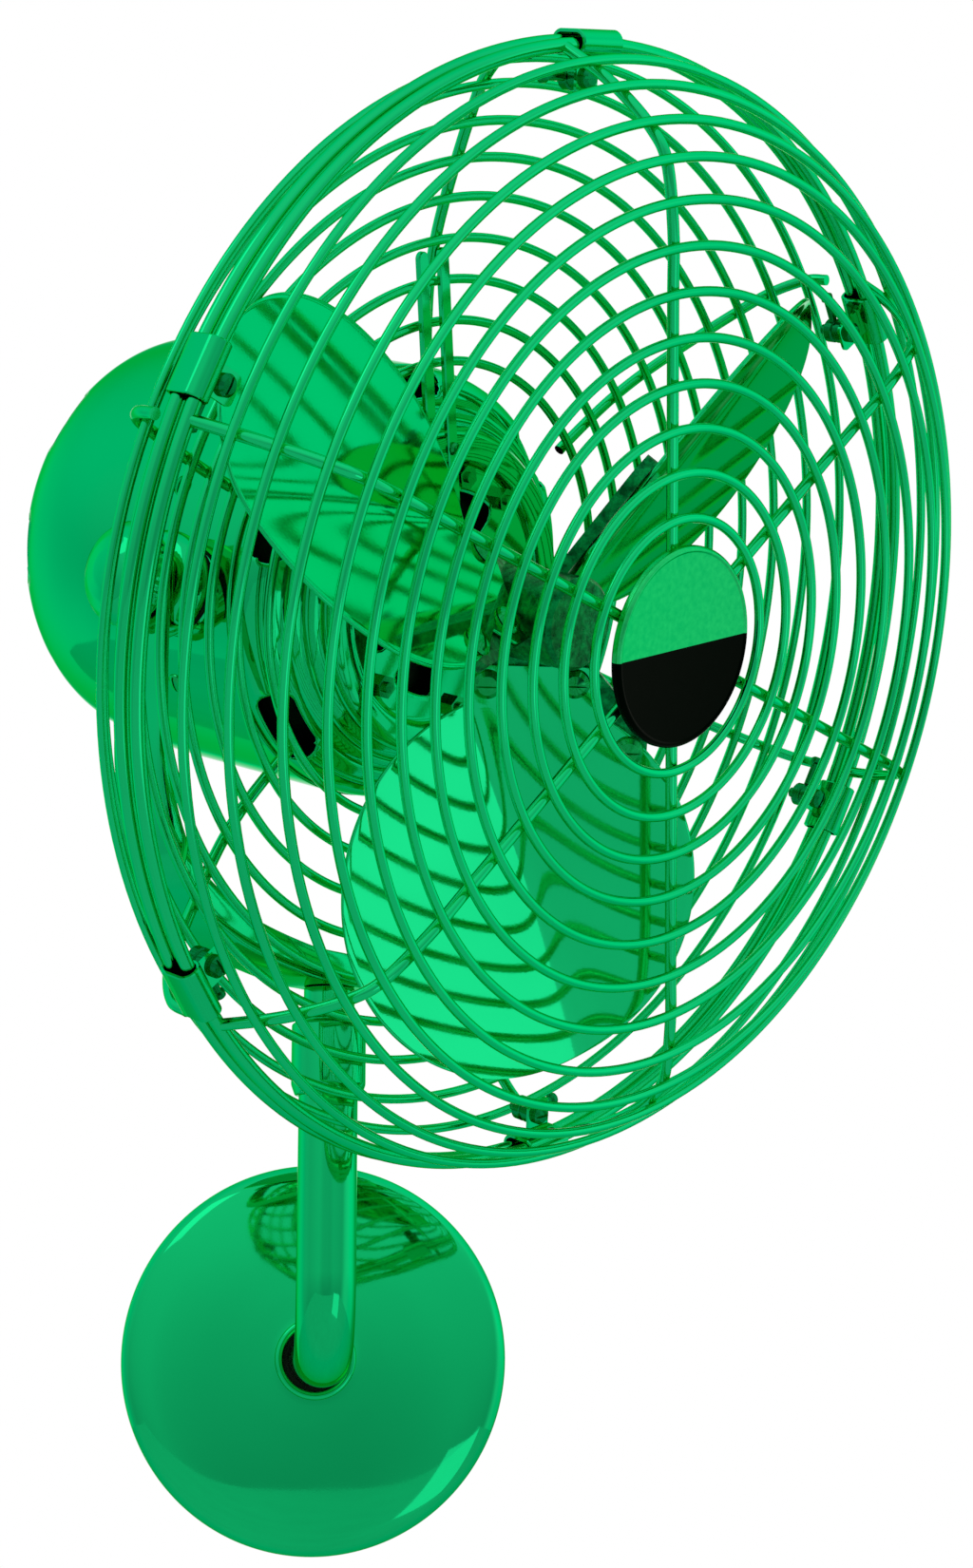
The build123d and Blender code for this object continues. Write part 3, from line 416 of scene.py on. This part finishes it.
# Finishes of the CAD nodes that stay in view, and of those inside
NODE_FINISH = {
    "swivel_set_screw": zinc, "swivel_nut": zinc, "stem_bolt": screw_finish, "pivot_studs": zinc,
    "bracket_screws": screw_finish, "motor_bolts": screw_finish, "front_nuts": screw_finish,
    "front_bearing": zinc, "rear_bearing": zinc, "shaft": zinc, "hub_set_screw": screw_finish,
    "blade_screws": screw_finish, "strap_screws": screw_finish, "badge_screw": screw_finish,
    "badge_back_plate": polish, "wall_bracket": black_steel, "pivot_brackets": black_steel,
    "rear_bearing_plate": black_steel, "clip_screws": dark_finish, "clip_nuts": dark_finish,
    "clip_pins": dark_finish, "rubber_washers": rubber, "stator_core": lamination,
    "stator_windings": copper, "hub": cast, "run_capacitor": plastic, "rotor_core": zinc,
}
for node_name, thing in frame["nodes"].items():
    thing.data.materials.clear()
    thing.data.materials.append(NODE_FINISH.get(node_name, polish))


# Wall part

LIP_R, LIP_Z, LIP_WIRE = 14.8, 17.3, 1.7
ARM_R, ARM_BEND, ARM_TOP = 11.0, 30.0, 110.0


def canopy():
    """A spun dish: one smooth profile from the wall to the rolled lip round the arm.

    It is turned about the arm's axis, and its wall is 1.2 mm thick at the rim.
    """
    outer = smooth_line([
        (78.3, 0.0), (78.3, 1.8), (77.6, 4.8), (74.6, 8.0), (69, 10.3), (60, 12.4), (46, 14.7), (30, 16.6),
        (17.5, 17.7),
    ], 8)
    lip_turn = np.radians(np.arange(20, 260, 15))
    lip = [(LIP_R + LIP_WIRE * np.cos(a), LIP_Z + LIP_WIRE * np.sin(a)) for a in lip_turn]
    inner = smooth_line([
        (14.6, 15.7), (30, 15.3), (46, 13.4), (60, 11.1), (68.5, 9.0), (73.6, 7.0), (76.4, 4.2), (77.1, 1.6),
        (77.1, 0.0),
    ], 6)
    profile = np.concatenate([outer, lip, inner, outer[:1]])
    p, f = turned(profile, 200)
    return piece("canopy_dish", "wall_mount", on_wall(p), f, polish, ("canopy",))


def arm():
    """The arm: a pipe straight out from the wall, a quarter bend, and straight up into the collar."""
    bend = np.radians(np.linspace(0, 90, 40))
    reach = -(ARM_OUT - ARM_BEND + ARM_BEND * np.sin(bend))
    out = np.stack([0 * bend, reach, ARM_BEND - ARM_BEND * np.cos(bend)], -1)
    zero = np.zeros(14)
    start = np.stack([zero, -np.linspace(2.6, ARM_OUT - ARM_BEND - 0.5, 14), zero], -1)
    up = np.stack([zero, np.full(14, -ARM_OUT), np.linspace(ARM_BEND + 0.5, ARM_TOP, 14)], -1)
    p, f = pipe(np.concatenate([start, out, up]), ARM_R, 48)
    return piece("arm_pipe", "wall_mount", p * MM, f, polish, ("arm_tube",))


def collar():
    """The swivel collar: a turned sleeve with softened ends on top of the arm."""
    line = [
        (11.05, 95), (12.4, 95), (13.85, 99), (13.85, 121.2), (13.05, 122), (6.05, 122), (6.05, 110.05),
        (11.05, 110.05), (11.05, 95),
    ]
    p, f = turned(eased(line, 0.7), 96)
    return piece("collar_sleeve", "wall_mount", on_yoke(p), f, polish, ("swivel_collar",))


canopy()
arm()
collar()


# Yoke

YOKE_IN, YOKE_OUT, YOKE_EYE = 98.0, 102.0, 272.0
YOKE_HALF, YOKE_EYE_R = 11.5, 12.5


def stem():
    """The swivel stem: a turned spindle with a dark groove just above the collar."""
    line = [
        (0, 94), (5.2, 94), (6, 94.8), (6, 122.3), (9, 122.3), (9.5, 122.8), (9.5, 123.4), (8.1, 123.8),
        (8.1, 125), (9.5, 125.4), (9.5, 134.95), (0, 134.95),
    ]
    p, f = turned(eased(line, 0.35), 80)
    return piece("stem_spindle", "yoke", on_yoke(p), f, polish, ("swivel_stem",))


def yoke_band():
    """The yoke: a flat band carried round a U.

    Its inner and outer edges are two smooth curves. Its width is constant along the sides and closes
    to a half circle over each pivot. Its section is a rounded rectangle.
    """
    inner = smooth_line([
        (0, 147), (25, 148.6), (59, 157), (84, 174), (96, 203), (YOKE_IN, 232), (YOKE_IN, 258),
        (YOKE_IN, YOKE_EYE),
    ], 9)
    outer = smooth_line([
        (0, 135), (25, 136.6), (62, 145.5), (89.5, 164.5), (101, 200), (YOKE_OUT, 232), (YOKE_OUT, 258),
        (YOKE_OUT, YOKE_EYE),
    ], 9)
    cap = np.sin(np.linspace(0.08, 1, 12) * np.pi / 2) * 12.4
    inner = np.concatenate([inner, np.stack([np.full(12, YOKE_IN), YOKE_EYE + cap], -1)])
    outer = np.concatenate([outer, np.stack([np.full(12, YOKE_OUT), YOKE_EYE + cap], -1)])
    eye_half = np.sqrt(np.maximum(YOKE_EYE_R**2 - cap**2, 0.6))
    half = np.concatenate([np.full(len(inner) - 12, YOKE_HALF), eye_half])
    half = np.minimum(half, YOKE_HALF)
    both = [np.concatenate([x[::-1] * (-1, 1), x[1:]]) for x in (inner, outer)]
    wide = np.concatenate([half[::-1], half[1:]])
    middle, thick = (both[0] + both[1]) / 2, (both[1] - both[0]) / 2
    corner = eased([(-1, -1), (1, -1), (1, 1), (-1, 1)], 0.16, 5, True)
    across = corner[None, :, 0] * wide[:, None]
    shift = middle[:, None] + thick[:, None] * corner[None, :, 1:2]
    p = np.stack([shift[..., 0], across, shift[..., 1]], -1)
    n, m = p.shape[:2]
    faces = grid_faces(n, m, False, True).tolist()
    faces += [list(range(m))[::-1], [(n - 1) * m + i for i in range(m)]]
    return piece("yoke_band", "yoke", on_yoke(p), faces, polish, ("yoke",))


stem()
yoke_band()


# Pivot and knobs

KNOB_LOW = 103.35
KNOB_FLUTES, FLUTE_DEPTH = 36, 0.35


def flutes(r, z, angle):
    """How far the knob's grip band is drawn in: a wave round the widest part alone."""
    return -FLUTE_DEPTH * (r > 18.3) * (0.5 + 0.5 * np.cos(KNOB_FLUTES * angle))


def knob(name, where, body, node):
    """A tilt knob: a turned button with shallow flutes round its grip band."""
    low = KNOB_LOW
    line = [
        (4.05, low), (16, low), (17.6, low + 1.2), (17.6, low + 2.2), (19, low + 3.2), (19, low + 6.6),
        (18.1, low + 8.2), (16, low + 11), (12, low + 13.6), (7, low + 15.2), (0, low + 16),
    ]
    p, f = turned(eased(line, 0.8), 216, flutes)
    return piece(name, body, where(p), f, polish, (node,), closed=False)


def barrels():
    """The two barrels between motor and yoke: full turned bellies that narrow towards the arm."""
    belly = smooth_line([
        (15.6, 84.1), (17.6, 85.5), (19.4, 88.1), (19.8, 90.7), (19.2, 93.5), (17.4, 96.1), (14, 97.7),
    ], 8)
    line = np.concatenate([[(4.05, 84.1)], belly, [(4.05, 97.7), (4.05, 84.1)]])
    p, f = turned(line, 128)
    p, f = joined([(on_left(p), f), (on_right(p), f)])
    return piece("pivot_barrels", "head", p, f, polish, ("pivot_bosses",))


knob("knob_left", on_left, "knob_left", "tilt_knob_left")
knob("knob_right", on_right, "knob_right", "tilt_knob_right")
barrels()


# Guards

WIRE, SPOKE, RIM = 1.75, 2.1, 2.5
WELD = 0.45
FACE_Z = 171.6
RINGS = [(radius, FACE_Z) for radius in (44.8, 60.4, 75.6, 90.7, 106.2, 121.6, 136.8, 152.0)]
SHOULDER = [(165.7, 168.5), (177.4, 161.0), (188.1, 148.4), (195.8, 136.1)]
BACK_RINGS = [
    (86.0, 55.5), (101.0, 56.5), (116.0, 58.3), (131.0, 62.0), (146.0, 67.5), (160.0, 73.5), (173.0, 79.5),
    (186.0, 86.5), (195.0, 96.5),
]
FRONT_RIM, BACK_RIM = (200.1, 119.9), (200.9, 113.3)
SPOKES, SPOKE_FIRST = 6, -6.5


def under(rings, before, after):
    """The line a spoke's centre follows.

    Each ring's centre is moved square to the row of rings, inward by both radii less the weld.
    """
    chain = np.array([before] + list(rings) + [after], float)
    d = chain[2:] - chain[:-2]
    square = np.stack([d[:, 1], -d[:, 0]], -1) / np.linalg.norm(d, axis=1, keepdims=True)
    return chain[1:-1] + square * (WIRE + SPOKE - WELD)


def guard(name, rings, rim, line, node):
    """A guard: rings of wire and one rim, laid over six equal spokes along the given line."""
    parts = [hoop(r, z, WIRE) for r, z in rings] + [hoop(*rim, RIM, 240, 16)]
    path = smooth_line(line, 8)
    spoke = pipe(np.stack([path[:, 0], 0 * path[:, 0], path[:, 1]], -1), SPOKE, 14)
    parts += [(spun(spoke[0], SPOKE_FIRST + 360 / SPOKES * i), spoke[1]) for i in range(SPOKES)]
    p, f = joined(parts)
    return piece(name, "head", on_fan(p), f, wire_finish, (node,))


flat_z = RINGS[0][1] - WIRE - SPOKE + WELD
front_line = [(9, flat_z), (50, flat_z), (90, flat_z), (120, flat_z), (142, flat_z)]
front_line += [tuple(q) for q in under(SHOULDER, RINGS[-1], FRONT_RIM)] + [FRONT_RIM]
guard("guard_front_wires", RINGS + SHOULDER, FRONT_RIM, front_line, "front_guard")
inner_end = (BACK_RINGS[0][0] - 2.5, BACK_RINGS[0][1] - WIRE - SPOKE + WELD)
back_line = [inner_end] + [tuple(q) for q in under(BACK_RINGS, inner_end, BACK_RIM)] + [(199.5, 104.0)]
guard("guard_back_wires", BACK_RINGS, BACK_RIM, back_line, "rear_guard")


# Blades

PITCH, FOLD, FOLD_SKEW = np.radians(35.5), np.radians(18.0), np.radians(20.5)
BLADES, BLADE_FIRST, FOLD_AT = 3, -71.0, 90.0
BLADE_Z, BLADE_MID, BLADE_ACROSS = 99.0, 104.2, 0.5
BLADE_HALF_L, BLADE_HALF_W, BLADE_T = 74.0, 66.8, 1.6


def blade(name, degrees, node):
    """One blade: a broad oval and a short root, cut from a sheet with a soft V fold.

    The height above the mean plane is the fold's slope times the distance from a skewed fold line,
    rounded near the line. Rows run outward and each row is a closed flat section with round edges.
    """
    turn = np.linspace(-1.19, np.pi / 2, 80)
    radius = np.concatenate([np.linspace(19.05, 34, 18), BLADE_MID + BLADE_HALF_L * np.sin(turn)])
    inside = np.clip(1 - ((radius - BLADE_MID) / BLADE_HALF_L)**2, 0, None)
    chord = BLADE_HALF_W * np.sqrt(inside)
    root = radius < 66
    ease = np.sqrt(np.clip(1 - ((25 - radius).clip(0) / 6)**2, 0.01, 1))
    high = np.where(root, np.maximum(BLADE_ACROSS + chord, 22 + 6 * ease), BLADE_ACROSS + chord)
    low = np.where(root, np.minimum(BLADE_ACROSS - chord, -15 - 6 * ease), BLADE_ACROSS - chord)
    across = np.linspace(-1, 1, 60)
    edge = BLADE_T / 2
    mid, half = (high + low) / 2, np.maximum((high - low) / 2 - edge, 0.02)
    rim = np.radians(np.linspace(-90, 90, 9))[1:-1]
    flat = mid[:, None] + half[:, None] * across
    right = (mid + half)[:, None] + edge * np.cos(rim)
    left = (mid - half)[:, None] - edge * np.cos(rim)
    tau = np.concatenate([flat, right, flat[:, ::-1], left], 1)
    wide = np.ones_like(flat)
    round_edge = np.sin(rim) * np.ones_like(right)
    lift = edge * np.concatenate([-wide, round_edge, wide, -round_edge], 1)
    rho = np.repeat(radius[:, None], tau.shape[1], 1)
    away = tau * np.cos(FOLD_SKEW) - (rho - FOLD_AT) * np.sin(FOLD_SKEW)
    soft = 2.5 + 0.055 * (rho - 19)
    h = np.tan(FOLD / 2) * soft * np.log(2 * np.cosh(away / soft)) + lift
    across_fan = tau * np.cos(PITCH) - h * np.sin(PITCH)
    along_axis = BLADE_Z + tau * np.sin(PITCH) + h * np.cos(PITCH)
    p = np.stack([rho, across_fan, along_axis], -1)
    n, m = p.shape[:2]
    ends = [list(range(m))[::-1], [(n - 1) * m + i for i in range(m)]]
    faces = grid_faces(n, m, False, True).tolist() + ends
    return piece(name, "rotor", on_fan(spun(p, degrees)), faces, blade_finish, (node,))


for i in range(BLADES):
    blade("blade_plate_" + str(i + 1), BLADE_FIRST + 360 / BLADES * i, "blade_" + str(i + 1))


# Motor

# Radius of the flat map that slots are cut in, the skin's thickness and the grid cells
MAP_R = 80
SKIN, CAN_CELL, FACE_CELL = 1.4, 1.7, 1.5

# Slots: how many, the first one's angle, where they lie, and (half length, end radius)
REAR_VENTS, REAR_FIRST, REAR_HEIGHT, REAR_SLOT = 9, 157, -92, (8.0, 6.5)
FRONT_VENTS, FRONT_FIRST, SHOULDER_R, FRONT_SLOT = 6, 54, 77.5, (9.5, 7.0)
INNER_VENT_ANGLES, INNER_R, INNER_SLOT = (85, -95, 150, 20, -150, -25), 31, (18.0, 7.5)


def pierced(q, holes, cell):
    """A grid with flat coordinates q and its distance to the slots.

    The caller leaves out the quads whose middle lies in a slot. Points nearer to a slot's edge than
    0.6 of a cell are first moved onto it along the flat coordinates. Each slot is (centre x,
    centre y, half length, radius).
    """
    rows, cols = q.shape[:2]
    depth = np.full((rows, cols), 1e9)
    for cx, cy, half, r in holes:
        x, y = q[..., 0] - cx, q[..., 1] - cy
        over = x - np.clip(x, -half, half)
        d = np.hypot(over, y) - r
        depth = np.minimum(depth, d)
        size = np.maximum(np.hypot(over, y), 1e-6)
        near = np.abs(d) < 0.6 * cell
        move = np.where(near, -d / size, 0.0)
        q = q + np.stack([over * move, y * move], -1)
        depth = np.where(near, 0.0, depth)
    return q, depth


def shell_profile(arc, points):
    """Points of a profile at the given distances along it, straight between its own close points."""
    step = np.concatenate([[0], np.cumsum(np.linalg.norm(np.diff(points, axis=0), axis=1))])
    return np.stack([np.interp(arc, step, points[:, i]) for i in range(2)], -1), step[-1]


def vented(name, profile, holes_at, cell, thick, node, material):
    """A turned skin with slots through it.

    The profile's length and the angle are the two parameters, slots are cut in that flat map, and
    the skin gets its thickness inward.
    """
    dense = np.asarray(profile, float)
    _, total = shell_profile(np.zeros(1), dense)
    rows = int(total / cell)
    cols = int(TAU * MAP_R / cell)
    arc = np.linspace(0, total, rows + 1)[:, None]
    around = (np.arange(cols + 1) / cols * TAU)[None, :]
    grid = (rows + 1, cols + 1)
    q = np.stack([np.broadcast_to(around * MAP_R, grid), np.broadcast_to(arc, grid)], -1)
    holes = []
    for degrees, station, half, r in holes_at:
        base = np.radians(degrees % 360) * MAP_R
        holes += [(base + shift, station, half, r) for shift in (-TAU * MAP_R, 0, TAU * MAP_R)]
    q, depth = pierced(q, holes, cell)
    q[:, -1] = q[:, 0] + (TAU * MAP_R, 0)
    rz, _ = shell_profile(q[..., 1].ravel(), dense)
    r, z = rz[:, 0].reshape(q.shape[:2]), rz[:, 1].reshape(q.shape[:2])
    angle = q[..., 0] / MAP_R
    p = np.stack([r * np.cos(angle), r * np.sin(angle), z], -1)
    faces = grid_faces(rows + 1, cols + 1)
    middle = depth.ravel()[faces].mean(1)
    faces = faces[middle > -1e-6]
    made = piece(name, "head", on_fan(p), faces, material, (node,), closed=False)
    wall = made.modifiers.new("wall", "SOLIDIFY")
    wall.thickness = thick * MM
    wall.offset = -1
    return made


def arc_at(profile, height=None, radius=None):
    """How far along a profile it first reaches a height or a radius."""
    p = np.asarray(profile, float)
    step = np.concatenate([[0], np.cumsum(np.linalg.norm(np.diff(p, axis=0), axis=1))])
    key = p[:, 1] if height is not None else -p[:, 0]
    return float(np.interp(height if height is not None else -radius, key, step))


def motor_can():
    """The deep dome of the motor, with a ring of slots round its back."""
    line = smooth_line([
        (0.0, -112.1), (30, -110.8), (52, -106.5), (68, -99), (77.5, -88), (81, -74), (82, -52), (81.6, -20),
        (81.1, 10), (80.8, 31),
    ], 12)
    at = arc_at(line, height=REAR_HEIGHT)
    vents = [(REAR_FIRST + 360 / REAR_VENTS * i, at, *REAR_SLOT) for i in range(REAR_VENTS)]
    return vented("motor_can", line, vents, CAN_CELL, SKIN, "motor_shell", polish)


def motor_face():
    """The stepped front cover, with slots on its shoulder and longer ones in its face."""
    line = eased([
        (80, 31.3), (80, 37), (78.6, 41), (75, 44.6), (70, 46.4), (68.5, 46.4), (68.5, 49), (66, 50.6),
        (64, 50.6), (64, 53.2), (61.4, 54.8), (59.4, 54.8), (59.4, 58.8), (58.2, 60), (51, 60), (49.8, 59),
        (49.8, 57), (19, 57), (17.5, 61), (14.5, 63.5), (6, 63.5),
    ], 0.9, 5)
    at = arc_at(line, radius=SHOULDER_R)
    vents = [(FRONT_FIRST + 360 / FRONT_VENTS * i, at, *FRONT_SLOT) for i in range(FRONT_VENTS)]
    at = arc_at(line, radius=INNER_R)
    vents += [(degrees, at, *INNER_SLOT) for degrees in INNER_VENT_ANGLES]
    return vented("motor_face", line, vents, FACE_CELL, SKIN, "motor_front_cover", polish)


def painted_shade_skin():
    """A dull black skin just inside the dome and cover, as painted shade, so that the slots look into the
    dark.
    """
    line = [
        (15.5, 53), (46, 53), (57, 46), (66, 40), (73, 34), (76.5, 26), (77, -52), (76, -74), (72.5, -86),
        (64, -95), (50, -102), (30, -106.5), (5, -108),
    ]
    p, f = turned(line, 96)
    return piece("painted_shade_skin", "head", on_fan(p), f, shade_paint, closed=False)


def pivot_pad(name, where):
    """A flat round seat on the side of the dome, for one pivot."""
    p, f = turned([(0, 70), (17, 70), (17, 81.2), (16.2, 82), (0, 82)], 96)
    return piece(name, "head", where(p), f, polish)


motor_can()
motor_face()
painted_shade_skin()
pivot_pad("pivot_pad_left", on_left)
pivot_pad("pivot_pad_right", on_right)


# Medallion, clips and straps

BADGE_BACK = 170.35
CLIP_FIRST = SPOKE_FIRST - 4.7
LUG_IN, LUG_OUT, LUG_HALF, LUG_THICK = 183.2, 197.3, 5.5, 0.6
STRAP_END, STRAP_HALF, STRAP_APART = 128, 2.5, 5.3


def medallion():
    """The badge: a turned disc with a raised rim round a slightly sunk face, left bare."""
    low = BADGE_BACK
    line = [
        (0, low), (34.7, low), (35.5, low + 0.8), (35.5, low + 3.0), (34.5, low + 4.0), (33.7, low + 4.0),
        (33.3, low + 3.5), (0, low + 3.5),
    ]
    p, f = turned(eased(line, 0.5), 160)
    return piece("badge_disc", "head", on_fan(p), f, badge, ("medallion",))


def clips():
    """Six rim clips: a stadium-shaped sleeve round both rims with an inward lug.

    Each sleeve is a section drawn out along the rim with softened ends.
    """
    middle = ((FRONT_RIM[0] + BACK_RIM[0]) / 2, (FRONT_RIM[1] + BACK_RIM[1]) / 2)
    tall = (FRONT_RIM[1] - BACK_RIM[1]) / 2
    a = np.linspace(0, TAU, 48, endpoint=False)

    def section(r):
        """The sleeve's outline at one distance from the two rims."""
        z = np.where(np.sin(a) >= 0, tall, -tall) + r * np.sin(a)
        return np.stack([middle[0] + r * np.cos(a), middle[1] + z], -1)

    y = np.array([-10, -9.6, 9.6, 10, 10, -10])
    rad = np.array([4.15, 4.55, 4.55, 4.15, 3.35, 3.35])
    rows = [np.stack([section(r)[:, 0], np.full(48, v), section(r)[:, 1]], -1) for r, v in zip(rad, y)]
    sleeve = np.stack(rows), grid_faces(6, 48, True, True)
    corners = [(LUG_IN, -LUG_HALF), (LUG_OUT, -LUG_HALF), (LUG_OUT, LUG_HALF), (LUG_IN, LUG_HALF)]
    outline = eased(corners, 2.5, 5, True)
    m = len(outline)
    lug_rows = [
        np.concatenate([outline, np.full((m, 1), middle[1] + h)], 1) for h in (-LUG_THICK, LUG_THICK)
    ]
    lug_faces = grid_faces(2, m, False, True).tolist() + [list(range(m))[::-1], list(range(m, 2 * m))]
    turns = [CLIP_FIRST + 360 / SPOKES * i for i in range(SPOKES)]
    p, f = joined([(spun(sleeve[0], turn), sleeve[1]) for turn in turns])
    count = len(p)
    lugs = np.concatenate([spun(np.concatenate(lug_rows), turn) for turn in turns])
    more = [[j + count + i * 2 * m for j in face] for i in range(SPOKES) for face in lug_faces]
    p = np.concatenate([p, lugs])
    return piece("rim_clip_sleeves", "head", on_fan(p), f + more, polish, ("rim_clips",))


def straps():
    """Flat guard straps: rounded bars drawn up from their outline, in pairs either side of a spoke."""
    points, faces = [], []
    for base, start in ((115.5, 31.0), (-64.5, 50.5)):
        for s in (-1, 1):
            t = np.radians(np.linspace(-90, 90, 13))
            x, y = STRAP_HALF * np.cos(t), STRAP_HALF * np.sin(t)
            outer_end = np.stack([STRAP_END - STRAP_HALF + x, y], -1)
            inner_end = np.stack([start + STRAP_HALF - x, -y], -1)
            ends = np.concatenate([outer_end, inner_end]) + (0, s * STRAP_APART)
            inner = (ends - ends.mean(0)) * (0.995, 0.8) + ends.mean(0)
            levels = ((ends, 60.05), (ends, 61.6), (inner, 62.05))
            rows = [np.concatenate([e, np.full((len(e), 1), h)], 1) for e, h in levels]
            m = len(ends)
            count = sum(len(q) for q in points)
            points.append(spun(np.concatenate(rows), base))
            bar = grid_faces(3, m, False, True).tolist()
            bar += [list(range(m))[::-1], list(range(2 * m, 3 * m))]
            faces += [[j + count for j in q] for q in bar]
    p = np.concatenate(points)
    return piece("strap_bars", "head", on_fan(p), faces, polish, ("guard_straps",))


medallion()
clips()
straps()


# Studio

FLOOR_HALF, FLOOR_Z = 5, -1.9
FOCAL_PIXELS, PICTURE_PIXELS = 2988, 1650


def floor():
    """A pale floor far enough below the fan to stay out of the photographed view."""
    mesh = bpy.data.meshes.new("studio_floor")
    half, z = FLOOR_HALF, FLOOR_Z
    corners = [(-half, -half, z), (half, -half, z), (half, half, z), (-half, half, z)]
    mesh.from_pydata(corners, [], [(0, 1, 2, 3)])
    f = Finish("pale_floor")
    f.link(f.ramp(f.noise(2.0), 0.67, 0.71), f.shader.inputs["Base Color"])
    f.shader.inputs["Roughness"].default_value = 0.9
    mesh.materials.append(f.material)
    thing = bpy.data.objects.new("studio_floor", mesh)
    bpy.context.scene.collection.objects.link(thing)


def world():
    """The studio as the plating sees it.

    It is a soft grey room, lighter above and to the back left, with the white backdrop as a round
    field behind the fan.
    """
    w = bpy.data.worlds.new("studio")
    bpy.context.scene.world = w
    w.use_nodes = True
    t = w.node_tree
    back = t.nodes["Background"]
    coord = t.nodes.new("ShaderNodeTexCoord").outputs["Generated"]

    def blend(direction, low, high, dark, light):
        """A level that goes from dark to light as the ray turns towards a direction."""
        dot = t.nodes.new("ShaderNodeVectorMath")
        dot.operation = "DOT_PRODUCT"
        t.links.new(coord, dot.inputs[0])
        dot.inputs[1].default_value = direction
        scale = t.nodes.new("ShaderNodeMapRange")
        scale.interpolation_type = "SMOOTHSTEP"
        for key, value in zip(("From Min", "From Max", "To Min", "To Max"), (low, high, dark, light)):
            scale.inputs[key].default_value = value
        t.links.new(dot.outputs["Value"], scale.inputs["Value"])
        return scale.outputs["Result"]

    def pair(operation, a, b):
        """The sum of two levels, or the greater of them."""
        node = t.nodes.new("ShaderNodeMath")
        node.operation = operation
        t.links.new(a, node.inputs[0])
        t.links.new(b, node.inputs[1])
        return node.outputs[0]

    level = blend((0, -0.35, 0.94), -0.3, 0.9, 0.42, 0.76)
    for direction, low, high, more in (
        ((-0.48, 0.87, 0.0), 0.55, 0.97, 0.30), ((0.62, -0.78, 0.0), 0.75, 0.98, -0.06),
        ((0.80, 0.40, 0.45), 0.70, 0.98, 0.20), ((0.97, 0.12, -0.20), 0.75, 0.97, 0.30),
        ((-0.85, 0.5, 0.1), 0.6, 0.97, 0.12), ((-0.05, -0.98, -0.12), 0.86, 0.99, -0.12),
    ):
        level = pair("ADD", level, blend(direction, low, high, 0.0, more))
    warm = t.nodes.new("ShaderNodeCombineColor")
    backdrop = blend((0.089, 0.975, 0.202), 0.90, 0.948, 0.0, 1.0)
    for channel, share in (("Red", 1.0), ("Green", 1.0), ("Blue", 0.86)):
        gain = t.nodes.new("ShaderNodeMath")
        gain.operation = "MULTIPLY"
        gain.inputs[1].default_value = share
        t.links.new(level, gain.inputs[0])
        t.links.new(pair("MAXIMUM", gain.outputs[0], backdrop), warm.inputs[channel])
    t.links.new(warm.outputs["Color"], back.inputs["Color"])


def lamp(name, spot, aim, width, height, power):
    """A rectangular softbox at a spot, turned to face the point that it aims at."""
    light = bpy.data.lights.new(name, "AREA")
    light.shape, light.size, light.size_y, light.energy = "RECTANGLE", width, height, power
    thing = bpy.data.objects.new(name, light)
    bpy.context.scene.collection.objects.link(thing)
    away = np.array(spot, float) - np.array(aim, float)
    z = away / np.linalg.norm(away)
    x = np.cross((0, 0, 1), z)
    x /= np.linalg.norm(x)
    y = np.cross(z, x)
    rows = [(*r, start) for r, start in zip(np.stack([x, y, z], 1), spot)]
    thing.matrix_world = Matrix(rows + [(0, 0, 0, 1)])


def camera():
    """The photograph's viewpoint: eye, heading and rise, and the lens worked out from its pixels."""
    yaw, up = np.radians(5.20), np.radians(11.67)
    look = np.array([np.sin(yaw) * np.cos(up), np.cos(yaw) * np.cos(up), np.sin(up)])
    right = np.array([np.cos(yaw), -np.sin(yaw), 0])
    top = np.cross(right, look)
    data = bpy.data.cameras.new("photo_eye")
    data.sensor_width = 36.0
    data.lens = 36.0 * FOCAL_PIXELS / PICTURE_PIXELS
    eye = np.array([-37.1, -1185.6, -4.7]) * MM
    thing = bpy.data.objects.new("photo_eye", data)
    bpy.context.scene.collection.objects.link(thing)
    rows = [(*r, start) for r, start in zip(np.stack([right, top, -look], 1), eye)]
    thing.matrix_world = Matrix(rows + [(0, 0, 0, 1)])
    bpy.context.scene.camera = thing


floor()
world()
lamp("low_softbox", (1.72, -2.15, -1.42), (0.05, -0.30, 0.15), 1.2, 1.2, 2.2)
lamp("high_softbox", (-1.3, -0.9, 1.6), (0, -0.2, 0.3), 0.9, 0.9, 1.6)
camera()
bpy.context.scene.view_settings.view_transform = "Standard"
